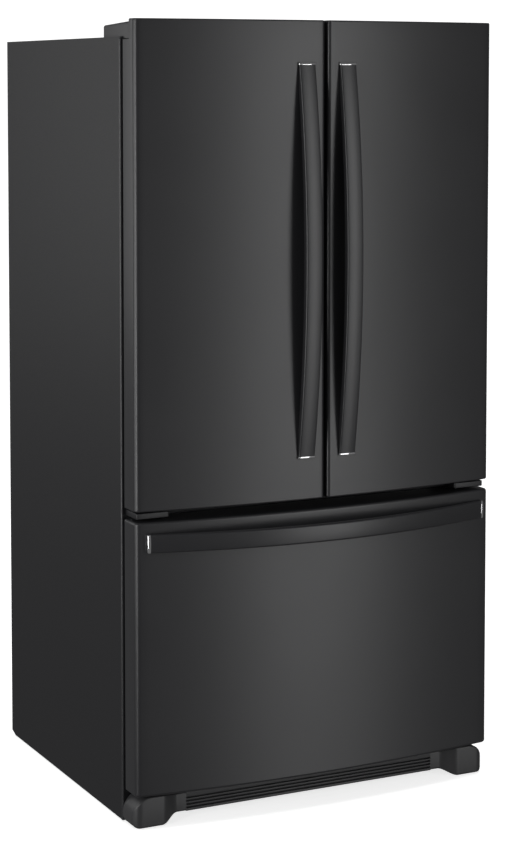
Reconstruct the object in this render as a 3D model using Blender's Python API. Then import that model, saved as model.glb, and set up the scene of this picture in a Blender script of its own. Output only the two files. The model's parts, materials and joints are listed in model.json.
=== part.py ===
"""French door refrigerator: two doors above, one freezer drawer below.

Metres, +Z up, front facing -Y. The origin is at the middle of the footprint, on the floor. Every piece is
drawn in cabinet coordinates, whose y = 0 is the cabinet's front plane, and hangs from one empty that puts
that plane in its place. Doors, drawers, rollers and the fan hang from an empty on their own axis.
"""

import math

import bmesh
import bpy
from mathutils import Matrix, Vector

# ---- overall sizes -------------------------------------------------------------------------------
WIDTH = 0.905
CABINET_HEIGHT = 1.743
CABINET_DEPTH = 0.715
CABINET_BOTTOM = 0.004          # side panels stop just above the floor
GAP = 0.0003                    # clearance between pieces that touch

# ---- cabinet sheet metal and walls ---------------------------------------------------------------
SHELL_WALL = 0.0015
SHELL_CORNER = 0.004
HEEL_LENGTH = 0.031             # slanting rear end of the side panels' lower edge
HEEL_RISE = 0.009
FLANGE_WIDTH = 0.036            # front return that the gaskets close on
TOP_FLANGE = 0.040
REAR_RECESS = 0.008             # back panel sits this far inside the side panels
LINER_WALL = 0.0025
SIDE_INSULATION = 0.045
TOP_INSULATION = 0.0525
FREEZER_SIDE_INSULATION = 0.060
FRESH_DEPTH = 0.600             # inside depth of the fresh food compartment
FREEZER_DEPTH_LOW = 0.450       # in front of the machine compartment
FREEZER_DEPTH_HIGH = 0.580      # above it
FREEZER_STEP = 0.360

# ---- heights of the front ------------------------------------------------------------------------
LIP_HEIGHT = 0.0385             # the doors' front rises this far above the cabinet
DOOR_BOTTOM = 0.7095
DRAWER_TOP = 0.6865
DRAWER_BOTTOM = 0.0765
RAIL_BOTTOM = 0.668             # rail between the compartments
RAIL_TOP = 0.728
RAIL_DEPTH = 0.030
SILL_TOP = 0.105                # rail below the freezer
FLOOR_PLATE = 0.050             # underside of the chassis plate
CHASSIS_WALL = 0.0015
APRON_BOTTOM = 0.022            # the sill's front sheet hangs down behind the grille
FLANGE_LAP = 0.012              # liner edge that shows round each opening

# ---- doors and drawer front ----------------------------------------------------------------------
DOOR_STANDOFF = 0.017           # cabinet front to the back of the doors
EDGE_DEPTH = 0.077              # cabinet front to the door face, at the sides
BOW = 0.033                     # how far the middle of the front stands forward of its sides
DOOR_GAP = 0.007
OUTER_RADIUS = 0.014
INNER_RADIUS = 0.008
SKIN = 0.002
LIP_REAR = 0.050                # the raised front of the doors starts here
LIP_STEP = 0.006                # the low rear part of the doors stops this far below the cabinet's top
GASKET_INSET = 0.020
GASKET_INSET_CENTRE = 0.006
GASKET_INSET_Z = 0.005
GASKET_WIDTH = 0.014
GASKET_WIDTH_Z = 0.012
DYKE_CLEARANCE = 0.0075         # between the liner's raised frame and the compartment walls
DYKE_CENTRE = 0.0335            # from a door's free edge to its raised frame
DYKE_WIDTH = 0.030
DYKE_REACH = 0.035              # how far the raised frame goes into the compartment
BIN_WALL = 0.0025

# ---- hinges --------------------------------------------------------------------------------------
PIN_INSET = 0.016
PIN_FORWARD = 0.030
PIN_RADIUS = 0.004
PIN_CLEARANCE = 0.0005
HINGE_PLATE = 0.004
HINGE_COVER_WALL = 0.002
HINGE_COVER_HEIGHT = 0.034
HINGE_COVER_DROP = 0.007        # its top slopes down this much to the rear
HINGE_COVER_REAR = 0.116
HINGE_COVER_WIDTH = 0.075
HINGE_COVER_SIDE = 0.008        # from the pin to the cap's outer side
HINGE_COVER_NOSE = 0.018        # from the pin to its front
BRACKET_THICKNESS = 0.013
BRACKET_WIDTH = 0.078
BRACKET_REACH = 0.066

# ---- handles -------------------------------------------------------------------------------------
HANDLE_WIDTH = 0.041
HANDLE_THICKNESS = 0.016
DOOR_HANDLE_X = 0.0515
DOOR_HANDLE_RISE = 0.0935        # from the door's lower edge to the handle
DOOR_HANDLE_DROP = 0.0935        # from the door's upper edge to the handle
DOOR_HANDLE_END = 0.012
DOOR_HANDLE_REACH = 0.043
DRAWER_HANDLE_DROP = 0.0453      # from the drawer front's upper edge to the handle's middle
DRAWER_HANDLE_INSET = 0.0225     # from the drawer front's sides to the handle's ends
DRAWER_HANDLE_END = 0.012
DRAWER_HANDLE_REACH = 0.050

# ---- drawers, baskets, slides and shelves --------------------------------------------------------
DRAWER_TRAVEL_ROOM = 0.006
SLIDE_HEIGHT = 0.050
SLIDE_DEPTH = 0.014
SLIDE_WALL = 0.002
SLIDE_MIDDLE_Z = 0.307
SLIDE_START = 0.036
SLIDE_LENGTH = 0.410
BAR_PROUD = 0.008               # the drawer's bars stand this far in from the slides
BASKET_REST = 0.005             # how much of each bar the lower basket's rim lies on
BASKET_WALL = 0.0025
BASKET_FLOOR = 0.135
UPPER_BASKET_FLOOR = 0.440
LEDGE_TOP = 0.600
LEDGE_THICKNESS = 0.010
LEDGE_WIDTH = 0.018
CRISPER_FRONT = 0.112
CRISPER_LENGTH = 0.420
CRISPER_SHARE = 0.235           # their height, as a share of the compartment's
CRISPER_WALL = 0.003
CRISPER_SIDE_ROOM = 0.028       # an open door's raised frame stands in front of this strip
SHELF_THICKNESS = 0.008
SHELF_FRONT = 0.160
SHELF_DEPTH = 0.400

# ---- base ----------------------------------------------------------------------------------------
FOOT_WIDTH = 0.0795
FOOT_REACH = 0.065
FOOT_HEIGHT = 0.070
FOOT_WALL = 0.0025
FOOT_LOW = 0.002                # the covers stop just above the floor
FOOT_SHOULDER = 0.029
FOOT_HEEL = 0.011
CORD_X = 0.360                  # where the supply cord goes in, on the rear cover
CORD_Z = 0.110
CORD_NECK = 0.009
CORD_HOLE = 0.0045
FOOT_SLANT = 0.016
GRILLE_REACH = 0.045
GRILLE_BOTTOM = 0.018
GRILLE_TOP = 0.062
GRILLE_SLOTS = 4
ROLLER_RADIUS = 0.022
ROLLER_WIDTH = 0.030
ROLLER_X = 0.400
ROLLER_Y = 0.640
AXLE_RADIUS = 0.004
LEVELLER_Y = 0.045
LEVELLER_X = 0.405
MACHINE_FRONT = 0.515
MACHINE_TOP = 0.330
FAN_X = 0.055
FAN_Y = 0.610
FAN_Z = 0.140
FAN_RADIUS = 0.062

# ---- worked out from the sizes above -------------------------------------------------------------
HALF = WIDTH / 2
FRONT_REACH = EDGE_DEPTH + BOW + max(DRAWER_HANDLE_REACH, DOOR_HANDLE_REACH)
CABINET_FRONT = (FRONT_REACH - CABINET_DEPTH) / 2
DOOR_TOP = CABINET_HEIGHT + LIP_HEIGHT
DOOR_SHOULDER = CABINET_HEIGHT - LIP_STEP
DOOR_HANDLE_BOTTOM = DOOR_BOTTOM + DOOR_HANDLE_RISE
DOOR_HANDLE_TOP = DOOR_TOP - DOOR_HANDLE_DROP
DRAWER_HANDLE_Z = DRAWER_TOP - DRAWER_HANDLE_DROP
DRAWER_HANDLE_HALF = HALF - DRAWER_HANDLE_INSET
SHELL_INSIDE = HALF - SHELL_WALL
FLANGE_EDGE = HALF - FLANGE_WIDTH
FRESH_HALF = HALF - SIDE_INSULATION - LINER_WALL
FRESH_FLOOR = RAIL_TOP + FLANGE_LAP + LINER_WALL
FRESH_CEILING = CABINET_HEIGHT - TOP_INSULATION - LINER_WALL
FREEZER_HALF = HALF - FREEZER_SIDE_INSULATION - LINER_WALL
FREEZER_FLOOR = SILL_TOP + FLANGE_LAP + LINER_WALL
FREEZER_CEILING = RAIL_BOTTOM - FLANGE_LAP - LINER_WALL
BACK = CABINET_DEPTH - REAR_RECESS
PIN_X = HALF - PIN_INSET
PIN_Y = -PIN_FORWARD
FRESH_HEIGHT = FRESH_CEILING - FRESH_FLOOR
CRISPER_HEIGHT = CRISPER_SHARE * FRESH_HEIGHT
CRISPER_SHELF_BOTTOM = FRESH_FLOOR + CRISPER_HEIGHT + 0.010
ARC_STEPS = 4
FRONT_STEPS = 8

FINISHES = {
    # name: (base colour, metallic, roughness)
    "painted": ((0.045, 0.045, 0.048), 0.0, 0.35),
    "textured_paint": ((0.040, 0.040, 0.042), 0.0, 0.50),
    "zinc": ((0.55, 0.56, 0.57), 0.9, 0.45),
    "white_plastic": ((0.86, 0.87, 0.87), 0.0, 0.40),
    "black_plastic": ((0.050, 0.050, 0.052), 0.0, 0.55),
    "clear_plastic": ((0.80, 0.86, 0.88), 0.0, 0.12),
    "shelf_glass": ((0.70, 0.82, 0.80), 0.0, 0.08),
    "gasket": ((0.10, 0.10, 0.10), 0.0, 0.70),
    "foam": ((0.85, 0.78, 0.55), 0.0, 0.90),
    "black_enamel": ((0.020, 0.020, 0.020), 0.0, 0.30),
    "nylon": ((0.75, 0.74, 0.70), 0.0, 0.60),
    "fibreboard": ((0.30, 0.24, 0.17), 0.0, 0.85),
}

groups = {}


# ---- making and placing pieces -------------------------------------------------------------------
def clear_scene():
    for item in list(bpy.data.objects):
        bpy.data.objects.remove(item, do_unlink=True)
    for mesh in list(bpy.data.meshes):
        bpy.data.meshes.remove(mesh)


def make_group(name, location, parent=None):
    """An empty on a joint's axis, or at the cabinet's front plane."""
    empty = bpy.data.objects.new(name, None)
    empty.empty_display_size = 0.05
    bpy.context.scene.collection.objects.link(empty)
    origin = groups[parent][1] if parent else Vector((0, 0, 0))
    empty.location = Vector(location) - origin
    if parent:
        empty.parent = groups[parent][0]
    groups[name] = (empty, Vector(location))


def make_material(name, finish):
    colour, metallic, roughness = FINISHES[finish]
    material = bpy.data.materials.new(name)
    material.use_nodes = True
    shader = material.node_tree.nodes["Principled BSDF"]
    shader.inputs["Base Color"].default_value = (*colour, 1.0)
    shader.inputs["Metallic"].default_value = metallic
    shader.inputs["Roughness"].default_value = roughness
    material.diffuse_color = (*colour, 1.0)
    return material


def finish_piece(piece, finish, group="cabinet_front"):
    """Hangs a piece drawn in cabinet coordinates from its group, and gives it its own material."""
    empty, origin = groups[group]
    piece.parent = empty
    piece.location = -origin if group != "cabinet_front" else Vector((0, 0, 0))
    if finish:
        piece.data.materials.append(make_material(piece.name, finish))
    for modifier in piece.modifiers:
        if modifier.type == "BOOLEAN":
            finish_piece(modifier.object, None, group)
    return piece


def object_from(name, mesh_builder):
    mesh = bpy.data.meshes.new(name)
    bmesh.ops.recalc_face_normals(mesh_builder, faces=mesh_builder.faces)
    mesh_builder.to_mesh(mesh)
    mesh_builder.free()
    piece = bpy.data.objects.new(name, mesh)
    bpy.context.scene.collection.objects.link(piece)
    return piece


def box(name, low, high):
    builder = bmesh.new()
    bmesh.ops.create_cube(builder, size=1.0)
    low, high = Vector(low), Vector(high)
    size = high - low
    bmesh.ops.scale(builder, vec=size, verts=builder.verts)
    bmesh.ops.translate(builder, vec=(low + high) / 2, verts=builder.verts)
    return object_from(name, builder)


def prism(name, outline, axis, start, end):
    """A closed outline pushed along an axis. The outline's two numbers are the other two axes, in order."""
    places = {
        "X": lambda a, b, t: (t, a, b),
        "Y": lambda a, b, t: (a, t, b),
        "Z": lambda a, b, t: (a, b, t),
    }
    builder = bmesh.new()
    ring = [builder.verts.new(places[axis](a, b, start)) for a, b in outline]
    face = builder.faces.new(ring)
    pushed = bmesh.ops.extrude_face_region(builder, geom=[face])
    moved = [item for item in pushed["geom"] if isinstance(item, bmesh.types.BMVert)]
    bmesh.ops.translate(builder, vec=places[axis](0, 0, end - start), verts=moved)
    return object_from(name, builder)


def cylinder(name, centre, radius, length, axis="Z", sides=16):
    turn = {
        "X": Matrix.Rotation(math.pi / 2, 4, "Y"),
        "Y": Matrix.Rotation(math.pi / 2, 4, "X"),
        "Z": Matrix.Identity(4),
    }
    builder = bmesh.new()
    bmesh.ops.create_cone(
        builder,
        cap_ends=True,
        segments=sides,
        radius1=radius,
        radius2=radius,
        depth=length,
        matrix=Matrix.Translation(centre) @ turn[axis],
    )
    piece = object_from(name, builder)
    shade_round(piece)
    return piece


def turned(name, profile, centre, sides=20):
    """A profile of (radius, height) points, from its foot to its top on the axis, spun about +Z."""
    builder = bmesh.new()
    points = [builder.verts.new((radius, 0, height)) for radius, height in profile]
    edges = [builder.edges.new(pair) for pair in zip(points, points[1:])]
    bmesh.ops.spin(
        builder, geom=points + edges, axis=(0, 0, 1), cent=(0, 0, 0), steps=sides, angle=2 * math.pi
    )
    bmesh.ops.remove_doubles(builder, verts=builder.verts, dist=1e-5)
    bmesh.ops.translate(builder, vec=centre, verts=builder.verts)
    piece = object_from(name, builder)
    shade_round(piece)
    return piece


def shade_round(piece):
    piece.data.shade_smooth()
    piece.data.set_sharp_from_angle(angle=math.radians(35))


def combine(piece, tool, operation):
    modifier = piece.modifiers.new(tool.name, "BOOLEAN")
    modifier.operation = operation
    modifier.object = tool
    tool.hide_render = True
    tool.display_type = "WIRE"


def cut(piece, *tools):
    for tool in tools:
        combine(piece, tool, "DIFFERENCE")
    return piece


def join(piece, *tools):
    for tool in tools:
        combine(piece, tool, "UNION")
    return piece


def mirrored(side, low_x, high_x):
    """The two x values of a piece on one side, lowest first; side is -1 for left and +1 for right."""
    return sorted((side * low_x, side * high_x))


def side_box(name, side, x_inner, x_outer, y_range, z_range):
    low_x, high_x = mirrored(side, x_inner, x_outer)
    return box(name, (low_x, y_range[0], z_range[0]), (high_x, y_range[1], z_range[1]))


def arc(centre, radius, start, end, steps=ARC_STEPS):
    """Points on an arc, angles in degrees from +x."""
    turns = [math.radians(start + (end - start) * i / steps) for i in range(steps + 1)]
    return [(centre[0] + radius * math.cos(t), centre[1] + radius * math.sin(t)) for t in turns]


def rounded_rectangle(x_range, y_range, radius, steps=3):
    (x0, x1), (y0, y1) = x_range, y_range
    return (
        arc((x1 - radius, y1 - radius), radius, 0, 90, steps)
        + arc((x0 + radius, y1 - radius), radius, 90, 180, steps)
        + arc((x0 + radius, y0 + radius), radius, 180, 270, steps)
        + arc((x1 - radius, y0 + radius), radius, 270, 360, steps)
    )


def tray(name, x_range, y_range, z_range, wall, radius):
    """An open-topped box with rounded upright corners."""
    body = prism(name, rounded_rectangle(x_range, y_range, radius), "Z", *z_range)
    inside = rounded_rectangle(
        (x_range[0] + wall, x_range[1] - wall),
        (y_range[0] + wall, y_range[1] - wall),
        radius - wall,
    )
    return cut(body, prism(name + "_inside", inside, "Z", z_range[0] + wall, z_range[1] + wall))


# ---- the bowed front -----------------------------------------------------------------------------
def face_y(x):
    """The front surface of the doors and the drawer: a shallow parabola across the whole width."""
    return -(EDGE_DEPTH + BOW * (1 - (x / HALF) ** 2))


def face_tilt(x):
    """Angle between the surface's normal and -Y at x, positive towards +X."""
    return math.atan(2 * BOW * x / HALF**2)


def corner_centre(x_edge, radius, side):
    """Centre of the rounding between the face and an upright edge at x_edge."""
    x_centre = x_edge - side * radius
    foot = x_centre
    for _ in range(4):
        foot = x_centre + radius * math.sin(face_tilt(foot))
    return (x_centre, face_y(foot) + radius * math.cos(face_tilt(foot))), foot


def front_outline(x0, x1, radius0, radius1, back, inset=0.0):
    """Plan of a front panel from x0 to x1: flat back, straight sides, rounded edges and the bowed face.

    With an inset it is the plan of the hollow inside the skin, and its back runs on past the panel's.
    """
    centre0, foot0 = corner_centre(x0, radius0, -1)
    centre1, foot1 = corner_centre(x1, radius1, 1)
    tilt0, tilt1 = math.degrees(face_tilt(foot0)), math.degrees(face_tilt(foot1))
    points = [(x0 + inset, back), (x0 + inset, centre0[1])]
    points += arc(centre0, radius0 - inset, 180, 270 + tilt0)[1:]
    for i in range(1, FRONT_STEPS):
        x = foot0 + (foot1 - foot0) * i / FRONT_STEPS
        tilt = face_tilt(x)
        points.append((x - inset * math.sin(tilt), face_y(x) + inset * math.cos(tilt)))
    points += arc(centre1, radius1 - inset, 270 + tilt1, 360)
    points.append((x1 - inset, back))
    return points


def door_edges(side):
    """Left and right x of a door, with the radius of each upright edge."""
    outer, inner = side * HALF, side * DOOR_GAP / 2
    if side < 0:
        return outer, inner, OUTER_RADIUS, INNER_RADIUS
    return inner, outer, INNER_RADIUS, OUTER_RADIUS


def handle_bar(name, stations, place):
    """A bowed bar of rounded rectangular section.

    stations holds (distance along, surface y, standoff of the front face, rear face y); place turns
    (along, across, y) into cabinet coordinates.
    """
    half, soft = HANDLE_WIDTH / 2, 0.005
    builder = bmesh.new()
    rings = []
    for along, front, rear in stations:
        section = [
            (-half, rear),
            (half, rear),
            (half, front + soft),
            (half - soft, front),
            (-half + soft, front),
            (-half, front + soft),
        ]
        rings.append([builder.verts.new(place(along, across, y)) for across, y in section])
    for one, other in zip(rings, rings[1:]):
        for i in range(len(one)):
            j = (i + 1) % len(one)
            builder.faces.new((one[i], one[j], other[j], other[i]))
    builder.faces.new(rings[0])
    builder.faces.new(rings[-1])
    piece = object_from(name, builder)
    shade_round(piece)
    return piece


def bow_profile(end, reach, share):
    """Standoff of a handle's front face; share runs from -1 at one end to +1 at the other."""
    return end + (reach - end) * (1 - share**2)


# ---- cabinet -------------------------------------------------------------------------------------
def cabinet_outline(inset, rear):
    corner = SHELL_CORNER
    left = arc((-HALF + corner, corner), corner - inset, 180, 270, 3)
    right = arc((HALF - corner, corner), corner - inset, 270, 360, 3)
    return left + right + [(HALF - inset, rear), (-HALF + inset, rear)]


def make_cabinet_shell():
    shell = prism("cabinet_shell", cabinet_outline(0.0, CABINET_DEPTH), "Z", CABINET_BOTTOM, CABINET_HEIGHT)
    inside = prism(
        "shell_inside",
        cabinet_outline(SHELL_WALL, CABINET_DEPTH + SHELL_WALL),
        "Z",
        -SHELL_WALL,
        CABINET_HEIGHT - SHELL_WALL,
    )
    mouth = box(
        "shell_mouth",
        (-FLANGE_EDGE, -SHELL_WALL, -SHELL_WALL * 2),
        (FLANGE_EDGE, SHELL_CORNER * 2, CABINET_HEIGHT - TOP_FLANGE),
    )
    heel = [
        (CABINET_DEPTH - HEEL_LENGTH, CABINET_BOTTOM - HEEL_RISE / 4),
        (CABINET_DEPTH + HEEL_LENGTH, CABINET_BOTTOM - HEEL_RISE / 4),
        (CABINET_DEPTH + HEEL_LENGTH, CABINET_BOTTOM + 2 * HEEL_RISE),
    ]
    cut(shell, inside, mouth, prism("shell_heel", heel, "X", -WIDTH, WIDTH))
    finish_piece(shell, "textured_paint")


def liner_flange(name, bottom, top):
    return box(name, (-FLANGE_EDGE + GAP, 0, bottom), (FLANGE_EDGE - GAP, LINER_WALL, top))


def make_fresh_food_liner():
    wall = LINER_WALL
    liner = box(
        "fresh_food_liner",
        (-FRESH_HALF - wall, 0, FRESH_FLOOR - wall),
        (FRESH_HALF + wall, FRESH_DEPTH + wall, FRESH_CEILING + wall),
    )
    flange = liner_flange("fresh_flange", RAIL_TOP + GAP, CABINET_HEIGHT - TOP_FLANGE - GAP)
    inside = box(
        "fresh_inside", (-FRESH_HALF, -wall, FRESH_FLOOR), (FRESH_HALF, FRESH_DEPTH, FRESH_CEILING)
    )
    join(liner, flange)
    cut(liner, inside)
    finish_piece(liner, "white_plastic")


def freezer_outline(grow):
    """Side view of the freezer compartment, stepped over the machine compartment."""
    return [
        (-0.0, FREEZER_FLOOR - grow),
        (FREEZER_DEPTH_LOW + grow, FREEZER_FLOOR - grow),
        (FREEZER_DEPTH_LOW + grow, FREEZER_STEP - grow),
        (FREEZER_DEPTH_HIGH + grow, FREEZER_STEP - grow),
        (FREEZER_DEPTH_HIGH + grow, FREEZER_CEILING + grow),
        (-0.0, FREEZER_CEILING + grow),
    ]


def open_to_front(outline, reach):
    """The same side view with its front edge moved forward, for a cutter that leaves no skin there."""
    return [(-reach if y == 0 else y, z) for y, z in outline]


def make_freezer_liner():
    wall = LINER_WALL
    liner = prism("freezer_liner", freezer_outline(wall), "X", -FREEZER_HALF - wall, FREEZER_HALF + wall)
    flange = liner_flange("freezer_flange", SILL_TOP + GAP, RAIL_BOTTOM - GAP)
    inside = prism(
        "freezer_inside", open_to_front(freezer_outline(0.0), wall), "X", -FREEZER_HALF, FREEZER_HALF
    )
    join(liner, flange)
    cut(liner, inside)
    for side, name in ((-1, "left"), (1, "right")):
        ledge = side_box(
            "basket_ledge_" + name,
            side,
            FREEZER_HALF - LEDGE_WIDTH,
            FREEZER_HALF + wall / 2,
            (SLIDE_START, FREEZER_DEPTH_LOW),
            (LEDGE_TOP - LEDGE_THICKNESS, LEDGE_TOP),
        )
        join(liner, ledge)
    finish_piece(liner, "white_plastic")


def make_insulation():
    inner = SHELL_INSIDE - GAP
    start = LINER_WALL + 2 * GAP
    foam = box(
        "insulation_foam",
        (-inner, start, FLOOR_PLATE + CHASSIS_WALL + GAP),
        (inner, BACK - GAP, CABINET_HEIGHT - SHELL_WALL - GAP),
    )
    grow = LINER_WALL + GAP
    fresh = box(
        "foam_fresh",
        (-FRESH_HALF - grow, -grow, FRESH_FLOOR - grow),
        (FRESH_HALF + grow, FRESH_DEPTH + grow, FRESH_CEILING + grow),
    )
    freezer = prism(
        "foam_freezer",
        open_to_front(freezer_outline(grow), grow),
        "X",
        -FREEZER_HALF - grow,
        FREEZER_HALF + grow,
    )
    machine = box("foam_machine", (-HALF, MACHINE_FRONT, 0), (HALF, CABINET_DEPTH, MACHINE_TOP))
    rail = box(
        "foam_rail", (-HALF, -GAP, RAIL_BOTTOM - GAP), (HALF, RAIL_DEPTH + GAP, RAIL_TOP + GAP)
    )
    sill = box("foam_sill", (-HALF, -GAP, 0), (HALF, RAIL_DEPTH + GAP, SILL_TOP + GAP))
    cut(foam, fresh, freezer, machine, rail, sill)
    finish_piece(foam, "foam")


def make_centre_rail():
    edge = FLANGE_EDGE - GAP
    rail = box("centre_rail", (-edge, 0, RAIL_BOTTOM), (edge, RAIL_DEPTH, RAIL_TOP))
    hollow = box(
        "rail_hollow",
        (-edge + SHELL_WALL, SHELL_WALL, RAIL_BOTTOM + SHELL_WALL),
        (edge - SHELL_WALL, RAIL_DEPTH + SHELL_WALL, RAIL_TOP - SHELL_WALL),
    )
    finish_piece(cut(rail, hollow), "textured_paint")


def make_base_frame():
    """Chassis plate with the front sill and apron, the rollers' ears and axles, and the fan's post."""
    edge = SHELL_INSIDE - GAP
    sill_edge = FLANGE_EDGE - GAP
    frame = box(
        "base_frame",
        (-edge, SHELL_CORNER + GAP, FLOOR_PLATE),
        (edge, BACK - GAP, FLOOR_PLATE + CHASSIS_WALL),
    )
    sill = box("sill", (-sill_edge, 0, FLOOR_PLATE), (sill_edge, RAIL_DEPTH, SILL_TOP))
    sill_hollow = box(
        "sill_hollow",
        (-sill_edge + SHELL_WALL, SHELL_WALL, FLOOR_PLATE + CHASSIS_WALL),
        (sill_edge - SHELL_WALL, RAIL_DEPTH * 2, SILL_TOP - SHELL_WALL),
    )
    apron = box("apron", (-sill_edge, 0, APRON_BOTTOM), (sill_edge, SHELL_WALL, FLOOR_PLATE + CHASSIS_WALL))
    join(frame, cut(sill, sill_hollow), apron)
    ear_gap = ROLLER_WIDTH / 2 + 0.002
    for side, name in ((-1, "left"), (1, "right")):
        for x_ear, end in ((ROLLER_X - ear_gap - 0.003, "inner"), (ROLLER_X + ear_gap, "outer")):
            ear = side_box(
                "roller_ear_%s_%s" % (end, name),
                side,
                x_ear,
                x_ear + 0.003,
                (ROLLER_Y - 0.014, ROLLER_Y + 0.014),
                (ROLLER_RADIUS - 0.010, FLOOR_PLATE + CHASSIS_WALL / 2),
            )
            join(frame, ear)
        axle = cylinder(
            "roller_axle_" + name,
            (side * ROLLER_X, ROLLER_Y, ROLLER_RADIUS),
            AXLE_RADIUS,
            2 * ear_gap + 0.004,
            "X",
        )
        join(frame, axle)
    motor_x = FAN_X - 0.034
    post = box(
        "fan_post",
        (motor_x - 0.006, FAN_Y - 0.012, FLOOR_PLATE + CHASSIS_WALL / 2),
        (motor_x + 0.006, FAN_Y + 0.012, FAN_Z),
    )
    motor = cylinder("fan_motor", (motor_x, FAN_Y, FAN_Z), 0.026, 0.040, "X")
    shaft = cylinder("fan_shaft", (FAN_X - 0.010, FAN_Y, FAN_Z), 0.003, 0.030, "X")
    join(frame, post, motor, shaft)
    finish_piece(frame, "zinc")


def make_back_panel():
    edge = SHELL_INSIDE - GAP
    panel = box(
        "back_panel",
        (-edge, BACK, MACHINE_TOP + GAP),
        (edge, BACK + SHELL_WALL, CABINET_HEIGHT - SHELL_WALL - GAP),
    )
    finish_piece(panel, "zinc")


def make_rear_cover():
    """Vented cover over the machine compartment, with the hole that the cord inlet sits in."""
    edge = SHELL_INSIDE - GAP
    cover = box(
        "rear_cover",
        (-edge, BACK, FLOOR_PLATE + CHASSIS_WALL),
        (edge, BACK + SHELL_WALL, MACHINE_TOP - GAP),
    )
    for row in range(5):
        z = FLOOR_PLATE + 0.060 + row * 0.034
        slot = box("cover_slot_%d" % row, (0.060, BACK - 0.01, z), (0.330, BACK + 0.01, z + 0.010))
        cut(cover, slot)
    cut(cover, cylinder("cord_hole", (-CORD_X, BACK, CORD_Z), CORD_NECK + GAP, 0.02, "Y"))
    finish_piece(cover, "fibreboard")


def make_cord_inlet():
    """Rubber grommet with a hole for the supply cord."""
    x, y, z = -CORD_X, BACK, CORD_Z
    neck = cylinder("cord_inlet", (x, y - 0.002, z), CORD_NECK, 0.014, "Y")
    flange = cylinder("inlet_flange", (x, y + SHELL_WALL + GAP + 0.002, z), 0.014, 0.004, "Y")
    hole = cylinder("inlet_hole", (x, y, z), CORD_HOLE, 0.05, "Y")
    join(neck, flange)
    cut(neck, hole)
    finish_piece(neck, "gasket")


# ---- machine compartment -------------------------------------------------------------------------
def make_compressor():
    foot = FLOOR_PLATE + CHASSIS_WALL + GAP
    x, y = -0.190, 0.610
    can = [(0, 0.014), (0.060, 0.014), (0.080, 0.030), (0.084, 0.060), (0.084, 0.110)]
    can += [(0.078, 0.145), (0.056, 0.170), (0.028, 0.180), (0, 0.182)]
    body = turned("compressor", can, (x, y, foot))
    plate = box(
        "compressor_plate",
        (x - 0.115, y - 0.070, foot + 0.010),
        (x + 0.115, y + 0.070, foot + 0.016),
    )
    join(body, plate)
    for i, (dx, dy) in enumerate(((-1, -1), (-1, 1), (1, -1), (1, 1))):
        pad = cylinder(
            "compressor_pad_%d" % i, (x + dx * 0.100, y + dy * 0.055, foot + 0.0065), 0.011, 0.013, sides=10
        )
        join(body, pad)
    finish_piece(body, "black_enamel")


def make_condenser():
    """Upright fins on a header plate, seen from the rear as a comb."""
    left, right, foot, top = 0.130, 0.400, FLOOR_PLATE + CHASSIS_WALL + GAP, 0.250
    count, thick, header = 12, 0.002, 0.012
    pitch = (right - left - thick) / (count - 1)
    outline = [(right, foot), (left, foot)]
    for i in range(count):
        x = left + i * pitch
        outline += [(x, top), (x + thick, top)]
        if i < count - 1:
            outline += [(x + thick, foot + header), (x + pitch, foot + header)]
    finish_piece(prism("condenser_coil", outline, "Y", FAN_Y - 0.055, FAN_Y + 0.055), "black_enamel")


def make_condenser_fan():
    hub = cylinder("condenser_fan", (FAN_X, FAN_Y, FAN_Z), 0.017, 0.022, "X", 12)
    for i in range(5):
        blade = box("fan_blade_%d" % i, (-0.0012, -0.017, 0.012), (0.0012, 0.017, FAN_RADIUS))
        pitch = Matrix.Rotation(math.radians(32), 4, "Z")
        around = Matrix.Rotation(math.radians(72 * i), 4, "X")
        blade.data.transform(Matrix.Translation((FAN_X, FAN_Y, FAN_Z)) @ around @ pitch)
        join(hub, blade)
    cut(hub, cylinder("fan_bore", (FAN_X - 0.004, FAN_Y, FAN_Z), 0.0036, 0.020, "X"))
    finish_piece(hub, "black_plastic", "condenser_fan_axis")


# ---- base ----------------------------------------------------------------------------------------
def make_roller(side, name):
    hub = (side * ROLLER_X, ROLLER_Y, ROLLER_RADIUS)
    wheel = cylinder("rear_roller_" + name, hub, ROLLER_RADIUS, ROLLER_WIDTH, "X", 24)
    bore = cylinder("roller_bore_" + name, hub, AXLE_RADIUS + PIN_CLEARANCE, 0.1, "X")
    finish_piece(cut(wheel, bore), "nylon", "rear_roller_%s_axis" % name)


def make_levelling_foot(side, name):
    place = Vector((side * LEVELLER_X, LEVELLER_Y, 0))
    pad = cylinder("levelling_foot_" + name, place + Vector((0, 0, 0.005)), 0.018, 0.010, sides=16)
    stem_top = FLOOR_PLATE - GAP
    stem_middle = place + Vector((0, 0, stem_top / 2 + 0.002))
    stem = cylinder("foot_stem_" + name, stem_middle, 0.005, stem_top - 0.004, sides=12)
    finish_piece(join(pad, stem), "zinc")


def foot_plan(side, inset):
    """Plan of a foot cover: side panel line, wide front corner, flat front, small inner corner."""
    outer, inner = HALF - inset, HALF - FOOT_WIDTH + inset
    front, back = -FOOT_REACH + inset, -GAP if inset == 0 else FOOT_WALL
    big, small = 0.020 - inset, 0.006 - inset
    points = [(outer, back)]
    points += arc((outer - big, front + big), big, 0, -90, 4)
    points += arc((inner + small, front + small), small, 270, 180, 2)
    points += [(inner, back)]
    return [(side * x, y) for x, y in points]


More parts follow.
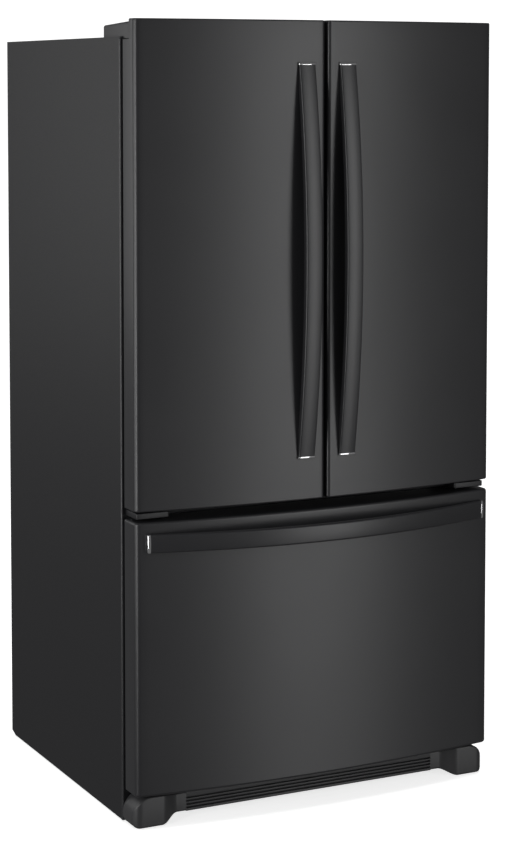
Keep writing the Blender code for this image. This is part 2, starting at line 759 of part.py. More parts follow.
def foot_profile(side, inset):
    """Front view of a foot cover: round shoulder and heel outside, slanting lower edge inside.

    With an inset it is the hollow's, and runs on below the cover.
    """
    outer, inner, top = HALF - inset, HALF - FOOT_WIDTH + inset, FOOT_HEIGHT - inset
    heel_x, heel_z = HALF - FOOT_HEEL, FOOT_LOW + FOOT_HEEL
    shoulder = FOOT_SHOULDER - inset
    points = arc((outer - shoulder, top - shoulder), shoulder, 0, 90, 5)
    low, toe_x = FOOT_LOW + inset, inner + FOOT_SLANT * 0.7
    points += [(inner, top), (inner, low + FOOT_SLANT), (toe_x, low)]
    if inset:
        points += [(toe_x, -FOOT_LOW), (heel_x, -FOOT_LOW)]
    points += arc((heel_x, heel_z), FOOT_HEEL - inset, 270, 360, 3)
    return [(side * x, z) for x, z in points]


def foot_solid(name, side, inset):
    body = prism(name, foot_plan(side, inset), "Z", -2 * FOOT_LOW, FOOT_HEIGHT + FOOT_LOW)
    profile = prism(name + "_profile", foot_profile(side, inset), "Y", -FOOT_REACH - 0.01, 0.01)
    combine(body, profile, "INTERSECT")
    return body


def make_foot_cover(side, name):
    cover = foot_solid("foot_cover_" + name, side, 0.0)
    cut(cover, foot_solid("foot_hollow_" + name, side, FOOT_WALL))
    finish_piece(cover, "black_plastic")


def make_base_grille():
    edge = HALF - FOOT_WIDTH - GAP
    wall = FOOT_WALL
    grille = box("base_grille", (-edge, -GRILLE_REACH, GRILLE_BOTTOM), (edge, -GAP, GRILLE_TOP))
    hollow = box(
        "grille_hollow",
        (-edge - wall, -GRILLE_REACH + wall, GRILLE_BOTTOM + wall),
        (edge + wall, wall, GRILLE_TOP - wall),
    )
    cut(grille, hollow)
    slot = 0.0042
    pitch = (GRILLE_TOP - GRILLE_BOTTOM - 0.014) / GRILLE_SLOTS
    for i in range(GRILLE_SLOTS):
        z = GRILLE_BOTTOM + 0.006 + i * pitch
        opening = box(
            "grille_slot_%d" % i,
            (-edge + 0.055, -GRILLE_REACH - wall, z),
            (edge - 0.055, -GRILLE_REACH + wall * 2, z + slot),
        )
        cut(grille, opening)
    finish_piece(grille, "black_plastic")


# ---- hinges --------------------------------------------------------------------------------------
def make_top_hinge(side, name):
    """Plate screwed to the cabinet top, with a pin that drops into the door."""
    foot = CABINET_HEIGHT + GAP
    inner = PIN_X - 0.050
    reach = (PIN_Y - 0.006, HINGE_COVER_REAR - 0.020)
    plate = side_box("top_hinge_" + name, side, inner, PIN_X, reach, (foot, foot + HINGE_PLATE))
    pin_low, pin_top = DOOR_SHOULDER - 0.012, foot + HINGE_PLATE / 2
    pin_middle = (side * PIN_X, PIN_Y, (pin_low + pin_top) / 2)
    nose = cylinder("hinge_nose_" + name, (side * PIN_X, PIN_Y, pin_top), 0.006, HINGE_PLATE)
    pin = cylinder("hinge_pin_" + name, pin_middle, PIN_RADIUS, pin_top - pin_low)
    finish_piece(join(plate, nose, pin), "zinc")


def hinge_cover_solid(name, side, inset):
    """The cap's outside, or with an inset its hollow, which runs on below it."""
    outer, front, rear = PIN_X + HINGE_COVER_SIDE, PIN_Y - HINGE_COVER_NOSE, HINGE_COVER_REAR
    inner = outer - HINGE_COVER_WIDTH
    top, foot = CABINET_HEIGHT + HINGE_COVER_HEIGHT - inset, CABINET_HEIGHT + GAP
    skirt = DOOR_SHOULDER + 5 * GAP
    radius = HINGE_COVER_SIDE
    corner = arc((outer - radius, front + radius), radius - inset, 270, 360, 3)
    plan = [(inner + inset, rear - inset), (inner + inset, front + inset)]
    plan += corner + [(outer - inset, rear - inset)]
    body = prism(name, [(side * x, y) for x, y in plan], "Z", skirt - 0.02, top + 0.02)
    if inset:
        low = skirt - 0.01
        profile = [(rear, low), (rear, top - HINGE_COVER_DROP), (0, top), (front, top), (front, low)]
    else:
        profile = [(rear, foot), (rear, top - HINGE_COVER_DROP), (0, top), (front, top)]
        profile += [(front, skirt), (-GAP, skirt), (-GAP, foot)]
    band = prism(name + "_profile", profile, "X", *mirrored(side, inner - 0.01, outer + 0.01))
    combine(body, band, "INTERSECT")
    return body


def make_hinge_cover(side, name):
    """Plastic cap over the top hinge. Its nose stays in the circle that the raised front clears."""
    cover = hinge_cover_solid("hinge_cover_" + name, side, 0.0)
    cut(cover, hinge_cover_solid("cover_hollow_" + name, side, HINGE_COVER_WALL))
    finish_piece(cover, "black_plastic")


def make_centre_hinge(side, name):
    """Bracket on the rail between the compartments, with the pin that carries the door."""
    low = (DRAWER_TOP + DOOR_BOTTOM) / 2 - BRACKET_THICKNESS / 2
    high = low + BRACKET_THICKNESS
    outer = PIN_X + HINGE_COVER_SIDE
    plate = side_box(
        "centre_hinge_" + name, side, outer - BRACKET_WIDTH, outer, (-BRACKET_REACH, -GAP), (low, high)
    )
    pin_low, pin_high = high - 0.004, DOOR_BOTTOM + 0.016
    pin_middle = (side * PIN_X, PIN_Y, (pin_low + pin_high) / 2)
    pin = cylinder("centre_pin_" + name, pin_middle, PIN_RADIUS, pin_high - pin_low)
    finish_piece(join(plate, pin), "textured_paint")


# ---- doors ---------------------------------------------------------------------------------------
def front_shell(name, edges, bottom, top, shoulder=None):
    """Pressed skin of a door or the drawer: bowed face, four returns, open at the back."""
    x0, x1, radius0, radius1 = edges
    back = -DOOR_STANDOFF
    shell = prism(name, front_outline(x0, x1, radius0, radius1, back), "Z", bottom, top)
    hollow = prism(
        name + "_hollow",
        front_outline(x0, x1, radius0, radius1, back + SKIN, SKIN),
        "Z",
        bottom + SKIN,
        top - SKIN,
    )
    if shoulder:
        past = 0.010
        step = box(name + "_step", (x0 - past, -LIP_REAR, shoulder), (x1 + past, past, top + past))
        under = box(
            name + "_under", (x0 - past, -LIP_REAR - SKIN, shoulder - SKIN), (x1 + past, past, top + past)
        )
        cut(hollow, under)
        return cut(shell, hollow, step)
    return cut(shell, hollow)


def front_liner(name, edges, bottom, top, dyke, reach):
    """Vacuum-formed inner panel: a flat border and a raised frame that reaches into the compartment.

    dyke is (x0, x1, z0, z1), the outside of the raised frame.
    """
    wall = LINER_WALL
    x0, x1 = edges[0], edges[1]
    rim = SKIN + GAP
    rear = -DOOR_STANDOFF
    plate = box(name, (x0 + rim, rear - wall, bottom + rim), (x1 - rim, rear, top - rim))
    raised = box(name + "_raised", (dyke[0], rear - wall, dyke[2]), (dyke[1], reach, dyke[3]))
    field = box(
        name + "_field",
        (dyke[0] + DYKE_WIDTH, rear, dyke[2] + DYKE_WIDTH),
        (dyke[1] - DYKE_WIDTH, reach + wall, dyke[3] - DYKE_WIDTH),
    )
    groove = box(
        name + "_groove",
        (dyke[0] + wall, rear - 2 * wall, dyke[2] + wall),
        (dyke[1] - wall, reach - wall, dyke[3] - wall),
    )
    island = box(
        name + "_island",
        (dyke[0] + DYKE_WIDTH - wall, rear - 3 * wall, dyke[2] + DYKE_WIDTH - wall),
        (dyke[1] - DYKE_WIDTH + wall, reach, dyke[3] - DYKE_WIDTH + wall),
    )
    join(plate, raised)
    return cut(plate, cut(groove, island), field)


def ring_gasket(name, x_range, z_range):
    """Magnetic seal: one closed loop between the door's border and the cabinet's front."""
    near, far = -DOOR_STANDOFF + GAP, -GAP
    gasket = box(name, (x_range[0], near, z_range[0]), (x_range[1], far, z_range[1]))
    opening = box(
        name + "_opening",
        (x_range[0] + GASKET_WIDTH, near - 0.01, z_range[0] + GASKET_WIDTH_Z),
        (x_range[1] - GASKET_WIDTH, far + 0.01, z_range[1] - GASKET_WIDTH_Z),
    )
    return cut(gasket, opening)


def door_dyke(side):
    """x and z of the outside of a door liner's raised frame."""
    outer = FRESH_HALF - DYKE_CLEARANCE
    inner = DOOR_GAP / 2 + DYKE_CENTRE
    x0, x1 = mirrored(side, inner, outer)
    return x0, x1, FRESH_FLOOR + DYKE_CLEARANCE + 0.0015, FRESH_CEILING - DYKE_CLEARANCE - 0.0015


DOOR_BINS = (
    # name, level of its floor and its height as shares of the compartment's, reach into it
    ("lower", 0.066, 0.148, 0.095),
    ("middle", 0.397, 0.127, 0.105),
    ("upper", 0.677, 0.116, 0.105),
)


def make_door(side, name):
    group = name + "_door_axis"
    edges = door_edges(side)
    shell = front_shell(name + "_door_shell", edges, DOOR_BOTTOM, DOOR_TOP, DOOR_SHOULDER)
    hole_radius = (PIN_RADIUS + PIN_CLEARANCE) / math.cos(math.pi / 16)
    for z, end in ((DOOR_SHOULDER, "top"), (DOOR_BOTTOM, "bottom")):
        cut(shell, cylinder("pin_hole_%s_%s" % (end, name), (side * PIN_X, PIN_Y, z), hole_radius, 0.020))
    finish_piece(shell, "painted", group)

    dyke = door_dyke(side)
    liner = front_liner(name + "_door_liner", edges, DOOR_BOTTOM, DOOR_SHOULDER, dyke, DYKE_REACH)
    finish_piece(liner, "white_plastic", group)

    outer, centre = HALF - GASKET_INSET, DOOR_GAP / 2 + GASKET_INSET_CENTRE
    gasket = ring_gasket(
        name + "_door_gasket",
        mirrored(side, centre, outer),
        (DOOR_BOTTOM + GASKET_INSET_Z, DOOR_SHOULDER - GASKET_INSET - GASKET_INSET_Z),
    )
    finish_piece(gasket, "gasket", group)

    steps = 16
    stations = []
    middle, half = (DOOR_HANDLE_BOTTOM + DOOR_HANDLE_TOP) / 2, (DOOR_HANDLE_TOP - DOOR_HANDLE_BOTTOM) / 2
    surface = face_y(DOOR_HANDLE_X - HANDLE_WIDTH / 2)
    for i in range(steps + 1):
        share = -1 + 2 * i / steps
        front = surface - bow_profile(DOOR_HANDLE_END, DOOR_HANDLE_REACH, share)
        stations.append((middle + half * share, front, min(front + HANDLE_THICKNESS, surface - GAP)))
    handle = handle_bar(
        name + "_door_handle",
        stations,
        lambda along, across, y: (side * DOOR_HANDLE_X + across, y, along),
    )
    finish_piece(handle, "painted", group)

    x0, x1 = dyke[0] + DYKE_WIDTH + GAP, dyke[1] - DYKE_WIDTH - GAP
    for level, floor, height, reach in DOOR_BINS:
        low = FRESH_FLOOR + floor * FRESH_HEIGHT
        bin_tray = tray(
            "%s_door_bin_%s" % (name, level),
            (x0, x1),
            (-DOOR_STANDOFF + GAP, reach),
            (low, low + height * FRESH_HEIGHT),
            BIN_WALL,
            0.012,
        )
        finish_piece(bin_tray, "clear_plastic", group)


FLAP_HALF = 0.029
FLAP_THICKNESS = 0.016
FLAP_PIVOT = (-0.026, 0.0085)


def make_mullion_flap():
    """Folding bar on the left door's free edge, drawn folded back along the door's raised frame."""
    px, py = FLAP_PIVOT
    near = py + (-FLAP_HALF - px)
    flap = prism(
        "mullion_flap",
        rounded_rectangle(
            (px - FLAP_THICKNESS / 2, px + FLAP_THICKNESS / 2), (near, near + 2 * FLAP_HALF), 0.003, 2
        ),
        "Z",
        FRESH_FLOOR + 0.004,
        FRESH_CEILING - 0.004,
    )
    finish_piece(flap, "black_plastic", "mullion_flap_axis")


# ---- freezer drawer ------------------------------------------------------------------------------
def make_drawer():
    group = "freezer_drawer_axis"
    edges = (-HALF, HALF, OUTER_RADIUS, OUTER_RADIUS)
    finish_piece(front_shell("drawer_shell", edges, DRAWER_BOTTOM, DRAWER_TOP), "painted", group)

    half = FREEZER_HALF - DYKE_CLEARANCE
    low, high = FREEZER_FLOOR + DYKE_CLEARANCE, FREEZER_CEILING - DYKE_CLEARANCE
    dyke = (-half, half, low, high)
    reach = SLIDE_START - DRAWER_TRAVEL_ROOM
    liner = front_liner("drawer_liner", edges, DRAWER_BOTTOM, DRAWER_TOP, dyke, reach)
    finish_piece(liner, "white_plastic", group)

    outer = HALF - GASKET_INSET
    gasket = ring_gasket(
        "drawer_gasket", (-outer, outer), (DRAWER_BOTTOM + GASKET_INSET_Z, DRAWER_TOP - GASKET_INSET_Z)
    )
    finish_piece(gasket, "gasket", group)

    steps = 20
    stations = []
    for i in range(steps + 1):
        share = -1 + 2 * i / steps
        x = DRAWER_HANDLE_HALF * share
        front = face_y(x) - bow_profile(DRAWER_HANDLE_END, DRAWER_HANDLE_REACH, share)
        stations.append((x, front, min(front + HANDLE_THICKNESS, face_y(x) - GAP)))
    handle = handle_bar(
        "drawer_handle", stations, lambda along, across, y: (along, y, DRAWER_HANDLE_Z + across)
    )
    finish_piece(handle, "painted", group)

    make_drawer_frame(group, reach)
    make_baskets(group, reach)


def slide_levels(nest):
    """z range and x range of one slide member; nest is 0 for the fixed one, 1 for the next, 2 for the bar."""
    shrink = nest * (SLIDE_WALL + GAP)
    z_range = (SLIDE_MIDDLE_Z - SLIDE_HEIGHT / 2 + shrink, SLIDE_MIDDLE_Z + SLIDE_HEIGHT / 2 - shrink)
    outer = FREEZER_HALF - 2 * GAP - shrink
    inner = FREEZER_HALF - SLIDE_DEPTH - 2 * GAP + nest * GAP
    return (inner, outer), z_range


def make_slide(side, name, nest, group):
    (inner, outer), z_range = slide_levels(nest)
    title = ("slide_rail_" if nest == 0 else "slide_middle_") + name
    rail = side_box(title, side, inner, outer, (SLIDE_START, SLIDE_START + SLIDE_LENGTH), z_range)
    channel = side_box(
        title + "_channel",
        side,
        inner - 0.01,
        outer - SLIDE_WALL,
        (SLIDE_START - 0.01, SLIDE_START + SLIDE_LENGTH + 0.01),
        (z_range[0] + SLIDE_WALL, z_range[1] - SLIDE_WALL),
    )
    finish_piece(cut(rail, channel), "zinc", group)


def make_drawer_frame(group, reach):
    """U-shaped carrier: a bar in each slide, joined across the back of the drawer's liner."""
    (inner, outer), z_range = slide_levels(2)
    bar = inner - BAR_PROUD
    near, far = reach + GAP, SLIDE_START + SLIDE_LENGTH
    cross = near + 0.004
    outline = [(-outer, near), (outer, near), (outer, far), (bar, far), (bar, cross), (-bar, cross)]
    outline += [(-bar, far), (-outer, far)]
    finish_piece(prism("drawer_frame", outline, "Z", *z_range), "zinc", group)


def make_baskets(group, reach):
    (inner, _), z_range = slide_levels(2)
    bar = inner - BAR_PROUD
    near = reach + 0.004 + 4 * GAP
    hang = z_range[1] + GAP
    basket = tray(
        "lower_basket",
        (-bar + 2 * GAP, bar - 2 * GAP),
        (near, SLIDE_START + SLIDE_LENGTH - 0.006),
        (BASKET_FLOOR, hang + 0.003),
        BASKET_WALL,
        0.025,
    )
    for side, name in ((-1, "left"), (1, "right")):
        lip = side_box(
            "lower_basket_lip_" + name,
            side,
            bar - BASKET_WALL,
            bar + BASKET_REST,
            (near + 0.03, SLIDE_START + SLIDE_LENGTH - 0.036),
            (hang, hang + 0.003),
        )
        join(basket, lip)
    finish_piece(basket, "white_plastic", group)

    body = FREEZER_HALF - LEDGE_WIDTH - 0.004
    upper = tray(
        "upper_basket",
        (-body, body),
        (near + 0.006, FREEZER_DEPTH_LOW + 0.050),
        (UPPER_BASKET_FLOOR, LEDGE_TOP + GAP + 0.004),
        BASKET_WALL,
        0.025,
    )
    for side, name in ((-1, "left"), (1, "right")):
        lip = side_box(
            "upper_basket_lip_" + name,
            side,
            body - BASKET_WALL,
            FREEZER_HALF - 0.002,
            (near + 0.04, FREEZER_DEPTH_LOW),
            (LEDGE_TOP + GAP, LEDGE_TOP + GAP + 0.004),
        )
        join(upper, lip)
    finish_piece(upper, "white_plastic", "upper_basket_axis")


# ---- inside the compartments ---------------------------------------------------------------------
def make_evaporator_cover():
    """Vented panel that stands in front of the evaporator, at the back of the freezer."""
    half = FREEZER_HALF - 0.004
    rear = FREEZER_DEPTH_HIGH - GAP
    cover = box(
        "evaporator_cover", (-half, rear - 0.045, FREEZER_STEP + GAP), (half, rear, FREEZER_CEILING - 0.004)
    )
    hollow = box(
        "evaporator_space",
        (-half + LINER_WALL, rear - 0.045 + LINER_WALL, FREEZER_STEP - 0.01),
        (half - LINER_WALL, rear + 0.01, FREEZER_CEILING - 0.004 - LINER_WALL),
    )
    cut(cover, hollow)
    for i in range(3):
        z = FREEZER_CEILING - 0.040 - i * 0.022
        cut(cover, box("evaporator_slot_%d" % i, (-0.15, rear - 0.06, z), (0.15, rear - 0.03, z + 0.010)))
    finish_piece(cover, "white_plastic")


def make_air_duct():
    half = 0.100
    rear = FRESH_DEPTH - GAP
    foot = FRESH_FLOOR + 0.296 * FRESH_HEIGHT
    duct = box("air_duct", (-half, rear - 0.016, foot), (half, rear, FRESH_CEILING - 0.030))
    for i in range(4):
        z = FRESH_FLOOR + (0.35 + i * 0.158) * FRESH_HEIGHT
        for side, name in ((-1, "left"), (1, "right")):
            vent = side_box(
                "duct_vent_%d_%s" % (i, name), side, 0.030, 0.080, (rear - 0.02, rear - 0.008), (z, z + 0.012)
            )
            cut(duct, vent)
    finish_piece(duct, "white_plastic")


def make_control_panel():
    """Housing under the ceiling with the lamp and the temperature keys."""
    top, depth, near = FRESH_CEILING - GAP, 0.230, 0.075
    outline = [(near, top), (near, top - 0.018), (near + 0.014, top - 0.032)]
    outline += [(near + depth - 0.060, top - 0.032), (near + depth, top - 0.012), (near + depth, top)]
    finish_piece(prism("control_panel", outline, "X", -0.180, 0.180), "white_plastic")


def make_shelf(name, x_range, z):
    """Glass shelf carried by two cantilever brackets at its ends."""
    near, far = SHELF_FRONT, SHELF_FRONT + SHELF_DEPTH
    shelf = box(name, (x_range[0], near, z), (x_range[1], far, z + SHELF_THICKNESS))
    web = [(far, z + 0.001), (far, z - 0.045), (far - 0.040, z - 0.045), (near + 0.060, z - 0.008)]
    web += [(near + 0.060, z + 0.001)]
    for i, x in enumerate((x_range[0] + 0.004, x_range[1] - 0.007)):
        join(shelf, prism("%s_bracket_%d" % (name, i), web, "X", x, x + 0.003))
    finish_piece(shelf, "shelf_glass")


def make_shelves():
    side = FRESH_HALF - 0.004
    make_shelf("shelf_upper_left", (-side, -0.004), FRESH_FLOOR + 0.698 * FRESH_HEIGHT)
    make_shelf("shelf_upper_right", (0.004, side), FRESH_FLOOR + 0.645 * FRESH_HEIGHT)
    make_shelf("shelf_lower", (-side, side), FRESH_FLOOR + 0.423 * FRESH_HEIGHT)
    low = CRISPER_SHELF_BOTTOM
    shelf = box(
        "crisper_shelf",
        (-FRESH_HALF + GAP, CRISPER_FRONT - 0.006, low),
        (FRESH_HALF - GAP, FRESH_DEPTH - GAP, low + 0.010),
    )
    middle = box(
        "crisper_divider",
        (-0.003, CRISPER_FRONT, FRESH_FLOOR + GAP),
        (0.003, FRESH_DEPTH - 0.01, low + 0.001),
    )
    finish_piece(join(shelf, middle), "shelf_glass")


def make_crisper(side, name):
    outer = FRESH_HALF - CRISPER_SIDE_ROOM
    drawer = tray(
        "crisper_" + name,
        mirrored(side, 0.006, outer),
        (CRISPER_FRONT, CRISPER_FRONT + CRISPER_LENGTH),
        (FRESH_FLOOR + GAP, FRESH_FLOOR + CRISPER_HEIGHT),
        CRISPER_WALL,
        0.015,
    )
    finish_piece(drawer, "clear_plastic", "crisper_%s_axis" % name)


def make_groups():
    make_group("cabinet_front", (0, CABINET_FRONT, 0))
    groups["cabinet_front"] = (groups["cabinet_front"][0], Vector((0, 0, 0)))
    axes = {
        "left_door_axis": (-PIN_X, PIN_Y, DOOR_BOTTOM),
        "right_door_axis": (PIN_X, PIN_Y, DOOR_BOTTOM),
        "freezer_drawer_axis": (0, 0, SLIDE_MIDDLE_Z),
        "upper_basket_axis": (0, 0, LEDGE_TOP),
        "middle_slides_axis": (0, 0, SLIDE_MIDDLE_Z),
        "crisper_left_axis": (-FRESH_HALF / 2, 0, FRESH_FLOOR),
        "crisper_right_axis": (FRESH_HALF / 2, 0, FRESH_FLOOR),
        "mullion_flap_axis": (*FLAP_PIVOT, FRESH_FLOOR),
        "condenser_fan_axis": (FAN_X, FAN_Y, FAN_Z),
        "rear_roller_left_axis": (-ROLLER_X, ROLLER_Y, ROLLER_RADIUS),
        "rear_roller_right_axis": (ROLLER_X, ROLLER_Y, ROLLER_RADIUS),
    }
    for name, place in axes.items():
        make_group(name, place, "cabinet_front")


def build():
    clear_scene()
    make_groups()
    make_cabinet_shell()
    make_fresh_food_liner()
    make_freezer_liner()
    make_insulation()
    make_centre_rail()
    make_base_frame()
    make_back_panel()
    make_rear_cover()
    make_cord_inlet()
    make_compressor()
    make_condenser()
    make_condenser_fan()
    make_base_grille()
    make_evaporator_cover()
    make_air_duct()
    make_control_panel()
    make_shelves()
    for side, name in ((-1, "left"), (1, "right")):
        make_roller(side, name)
        make_levelling_foot(side, name)
        make_foot_cover(side, name)
        make_top_hinge(side, name)
        make_hinge_cover(side, name)
        make_centre_hinge(side, name)
        make_door(side, name)
        make_crisper(side, name)
        make_slide(side, name, 0, "cabinet_front")
        make_slide(side, name, 1, "middle_slides_axis")
    make_mullion_flap()
    make_drawer()


build()
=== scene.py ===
"""Looks of a french door refrigerator: two bowed doors above one freezer drawer, in semi-gloss black."""

import json
import math

import bpy
import numpy as np
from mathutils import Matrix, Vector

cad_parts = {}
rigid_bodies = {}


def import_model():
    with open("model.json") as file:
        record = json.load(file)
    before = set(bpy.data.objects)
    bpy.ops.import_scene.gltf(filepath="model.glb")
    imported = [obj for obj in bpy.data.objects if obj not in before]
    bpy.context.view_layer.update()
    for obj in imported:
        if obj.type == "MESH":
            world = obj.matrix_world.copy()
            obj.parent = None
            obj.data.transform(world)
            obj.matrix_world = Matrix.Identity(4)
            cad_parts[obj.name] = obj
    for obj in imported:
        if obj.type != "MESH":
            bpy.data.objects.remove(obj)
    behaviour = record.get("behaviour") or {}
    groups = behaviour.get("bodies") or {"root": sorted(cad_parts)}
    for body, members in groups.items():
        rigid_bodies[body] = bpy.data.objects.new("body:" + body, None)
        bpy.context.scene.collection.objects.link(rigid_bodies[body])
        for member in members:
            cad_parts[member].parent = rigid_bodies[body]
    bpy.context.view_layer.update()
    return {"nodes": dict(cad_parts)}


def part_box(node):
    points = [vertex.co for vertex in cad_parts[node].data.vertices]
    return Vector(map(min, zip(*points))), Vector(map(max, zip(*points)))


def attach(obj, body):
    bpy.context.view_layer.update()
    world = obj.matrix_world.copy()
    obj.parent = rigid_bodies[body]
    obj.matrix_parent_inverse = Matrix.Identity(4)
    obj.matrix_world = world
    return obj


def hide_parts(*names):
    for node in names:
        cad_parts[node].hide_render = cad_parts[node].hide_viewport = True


for item in list(bpy.data.objects):
    bpy.data.objects.remove(item, do_unlink=True)

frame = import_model()
NODES = frame["nodes"]

# ---- sizes, in metres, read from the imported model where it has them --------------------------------
CABINET_LOW, CABINET_HIGH = (np.array(corner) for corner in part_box("cabinet_shell"))
FRONT = CABINET_LOW[1]                      # the cabinet's front plane; shapes are drawn with it at y = 0
HALF = CABINET_HIGH[0]
CABINET_TOP = CABINET_HIGH[2]
DOOR_LOW, DOOR_HIGH = (np.array(corner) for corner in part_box("left_door_shell"))
DRAWER_LOW, DRAWER_HIGH = (np.array(corner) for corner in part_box("drawer_shell"))
DOOR_REAR = DOOR_HIGH[1] - FRONT            # back of the doors and the drawer front
DOOR_GAP_HALF = abs(DOOR_HIGH[0])
LINER_INSET = 0.0023                        # from the inner panel's top edge up to the doors' shoulder
DOOR_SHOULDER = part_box("left_door_liner")[1][2] + LINER_INSET
LIP_REAR = -0.050                           # the doors' raised front edge starts here
FACE_MIDDLE = DRAWER_LOW[1] - FRONT         # the bowed face at x = 0
BOW = 0.033                                 # from the middle of the face back to its sides
OUTER_RADIUS = 0.014
INNER_RADIUS = 0.008
SKIN = 0.002
RECESS = 0.0028                             # depth of the hollow in a front's rear, for the inner panel
DOOR_EDGE, DRAWER_EDGE = 0.0035, 0.0060     # radius of the fronts' upper and lower edges
DOOR_STANDOFF = (0.006, 0.0435)             # from the face to a handle's front: at its ends, midway
DRAWER_STANDOFF = (0.012, 0.050)
GRIP_DEPTH, GRIP_GAP = 0.016, 0.0003        # a handle's bar front to rear, and its least gap to the face
GRIP_CROWN = 0.0010                         # how far the middle of a bar's front stands proud
CAP_STEP = 0.0004                           # a bar is this much narrower than its caps, on each side
SEAL_WIDTH, SEAL_CORNER = 0.0135, 0.016
BRACKET_THICKNESS = 0.013
PIN_INSET, PIN_FORWARD = 0.016, 0.030       # a centre hinge's pin, from the cabinet's side and front
LOUVRE_MARGIN = 0.055                       # from the grille's end to its louvres


def local_box(node):
    """A CAD node's lowest and highest corner, with y measured from the cabinet's front plane."""
    low, high = (np.array(corner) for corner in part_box(node))
    low[1] -= FRONT
    high[1] -= FRONT
    return low, high


# ---- colours and shader nodes --------------------------------------------------------------------------
def linear(code):
    """An sRGB hex colour as linear light, with an alpha of 1."""
    parts = np.array([int(code[i:i + 2], 16) for i in (1, 3, 5)]) / 255
    light = np.where(parts <= 0.04045, parts / 12.92, ((parts + 0.055) / 1.055) ** 2.4)
    return (*light.tolist(), 1.0)


def add(tree, kind, sockets=None, **fields):
    """Adds one node. fields are its own settings; sockets are numbers, colours or outputs to link."""
    node = tree.nodes.new(kind)
    for name, value in fields.items():
        setattr(node, name, value)
    for name, value in (sockets or {}).items():
        if isinstance(value, bpy.types.NodeSocket):
            tree.links.new(value, node.inputs[name])
        else:
            node.inputs[name].default_value = value
    return node


def new_material(name):
    """A material with an empty node tree, and that tree."""
    material = bpy.data.materials.new(name)
    material.use_nodes = True
    material.node_tree.nodes.clear()
    return material, material.node_tree


def baked_enamel(name, tone, other_tone, roughness, peel_mm, peel_depth_mm):
    """Sprayed and baked enamel: orange peel of peel_mm across, and faint hand marks that dull its gloss."""
    material, tree = new_material(name)
    place = add(tree, "ShaderNodeTexCoord").outputs["Object"]
    peel = add(tree, "ShaderNodeTexNoise", {"Vector": place, "Scale": 1000 / peel_mm, "Detail": 2.0})
    marks = add(tree, "ShaderNodeTexNoise", {"Vector": place, "Scale": 6.0, "Detail": 5.0, "Roughness": 0.6})
    cloud = marks.outputs["Fac"]
    colour = add(
        tree, "ShaderNodeMixRGB", {"Fac": cloud, "Color1": linear(tone), "Color2": linear(other_tone)}
    )
    gloss = add(
        tree, "ShaderNodeMapRange", {"Value": cloud, "To Min": roughness * 0.9, "To Max": roughness * 1.12}
    )
    bump = add(tree, "ShaderNodeBump", {"Height": peel.outputs["Fac"], "Distance": peel_depth_mm / 1000})
    surface = add(tree, "ShaderNodeBsdfPrincipled", {
        "Base Color": colour.outputs["Color"],
        "Roughness": gloss.outputs["Result"],
        "Normal": bump.outputs["Normal"],
        "IOR": 1.5,
    })
    add(tree, "ShaderNodeOutputMaterial", {"Surface": surface.outputs["BSDF"]})
    return material


def stippled_enamel(name, tone, other_tone, roughness, cell_mm, depth_mm):
    """Textured enamel of cabinet sides: close round pebbles cell_mm apart, glossier on their crests."""
    material, tree = new_material(name)
    place = add(tree, "ShaderNodeTexCoord").outputs["Object"]
    cells = add(
        tree,
        "ShaderNodeTexVoronoi",
        {"Vector": place, "Scale": 1000 / cell_mm, "Smoothness": 0.6},
        feature="SMOOTH_F1",
    )
    drift = add(tree, "ShaderNodeTexNoise", {"Vector": place, "Scale": 3.0, "Detail": 4.0})
    pebble, cloud = cells.outputs["Distance"], drift.outputs["Fac"]
    colour = add(
        tree, "ShaderNodeMixRGB", {"Fac": cloud, "Color1": linear(tone), "Color2": linear(other_tone)}
    )
    gloss = add(
        tree, "ShaderNodeMapRange", {"Value": pebble, "To Min": roughness * 0.85, "To Max": roughness * 1.1}
    )
    bump = add(
        tree, "ShaderNodeBump", {"Height": pebble, "Distance": depth_mm / 1000, "Strength": 0.6}, invert=True
    )
    surface = add(tree, "ShaderNodeBsdfPrincipled", {
        "Base Color": colour.outputs["Color"],
        "Roughness": gloss.outputs["Result"],
        "Normal": bump.outputs["Normal"],
        "IOR": 1.5,
    })
    add(tree, "ShaderNodeOutputMaterial", {"Surface": surface.outputs["BSDF"]})
    return material


def moulded_plastic(name, tone, other_tone, roughness, grain_mm, depth_mm, ior=1.53, milkiness=0.0):
    """Injection-moulded or formed plastic: a fine spark-eroded grain and slight flow marks."""
    material, tree = new_material(name)
    place = add(tree, "ShaderNodeTexCoord").outputs["Object"]
    grain = add(tree, "ShaderNodeTexNoise", {"Vector": place, "Scale": 1000 / grain_mm, "Detail": 3.0})
    flow = add(tree, "ShaderNodeTexNoise", {"Vector": place, "Scale": 9.0, "Detail": 3.0, "Distortion": 0.8})
    streak = flow.outputs["Fac"]
    colour = add(
        tree, "ShaderNodeMixRGB", {"Fac": streak, "Color1": linear(tone), "Color2": linear(other_tone)}
    )
    gloss = add(
        tree, "ShaderNodeMapRange", {"Value": streak, "To Min": roughness * 0.92, "To Max": roughness * 1.1}
    )
    bump = add(tree, "ShaderNodeBump", {"Height": grain.outputs["Fac"], "Distance": depth_mm / 1000})
    surface = add(tree, "ShaderNodeBsdfPrincipled", {
        "Base Color": colour.outputs["Color"],
        "Roughness": gloss.outputs["Result"],
        "Normal": bump.outputs["Normal"],
        "IOR": ior,
        "Subsurface Weight": milkiness,
        "Subsurface Scale": 0.002,
    })
    add(tree, "ShaderNodeOutputMaterial", {"Surface": surface.outputs["BSDF"]})
    return material


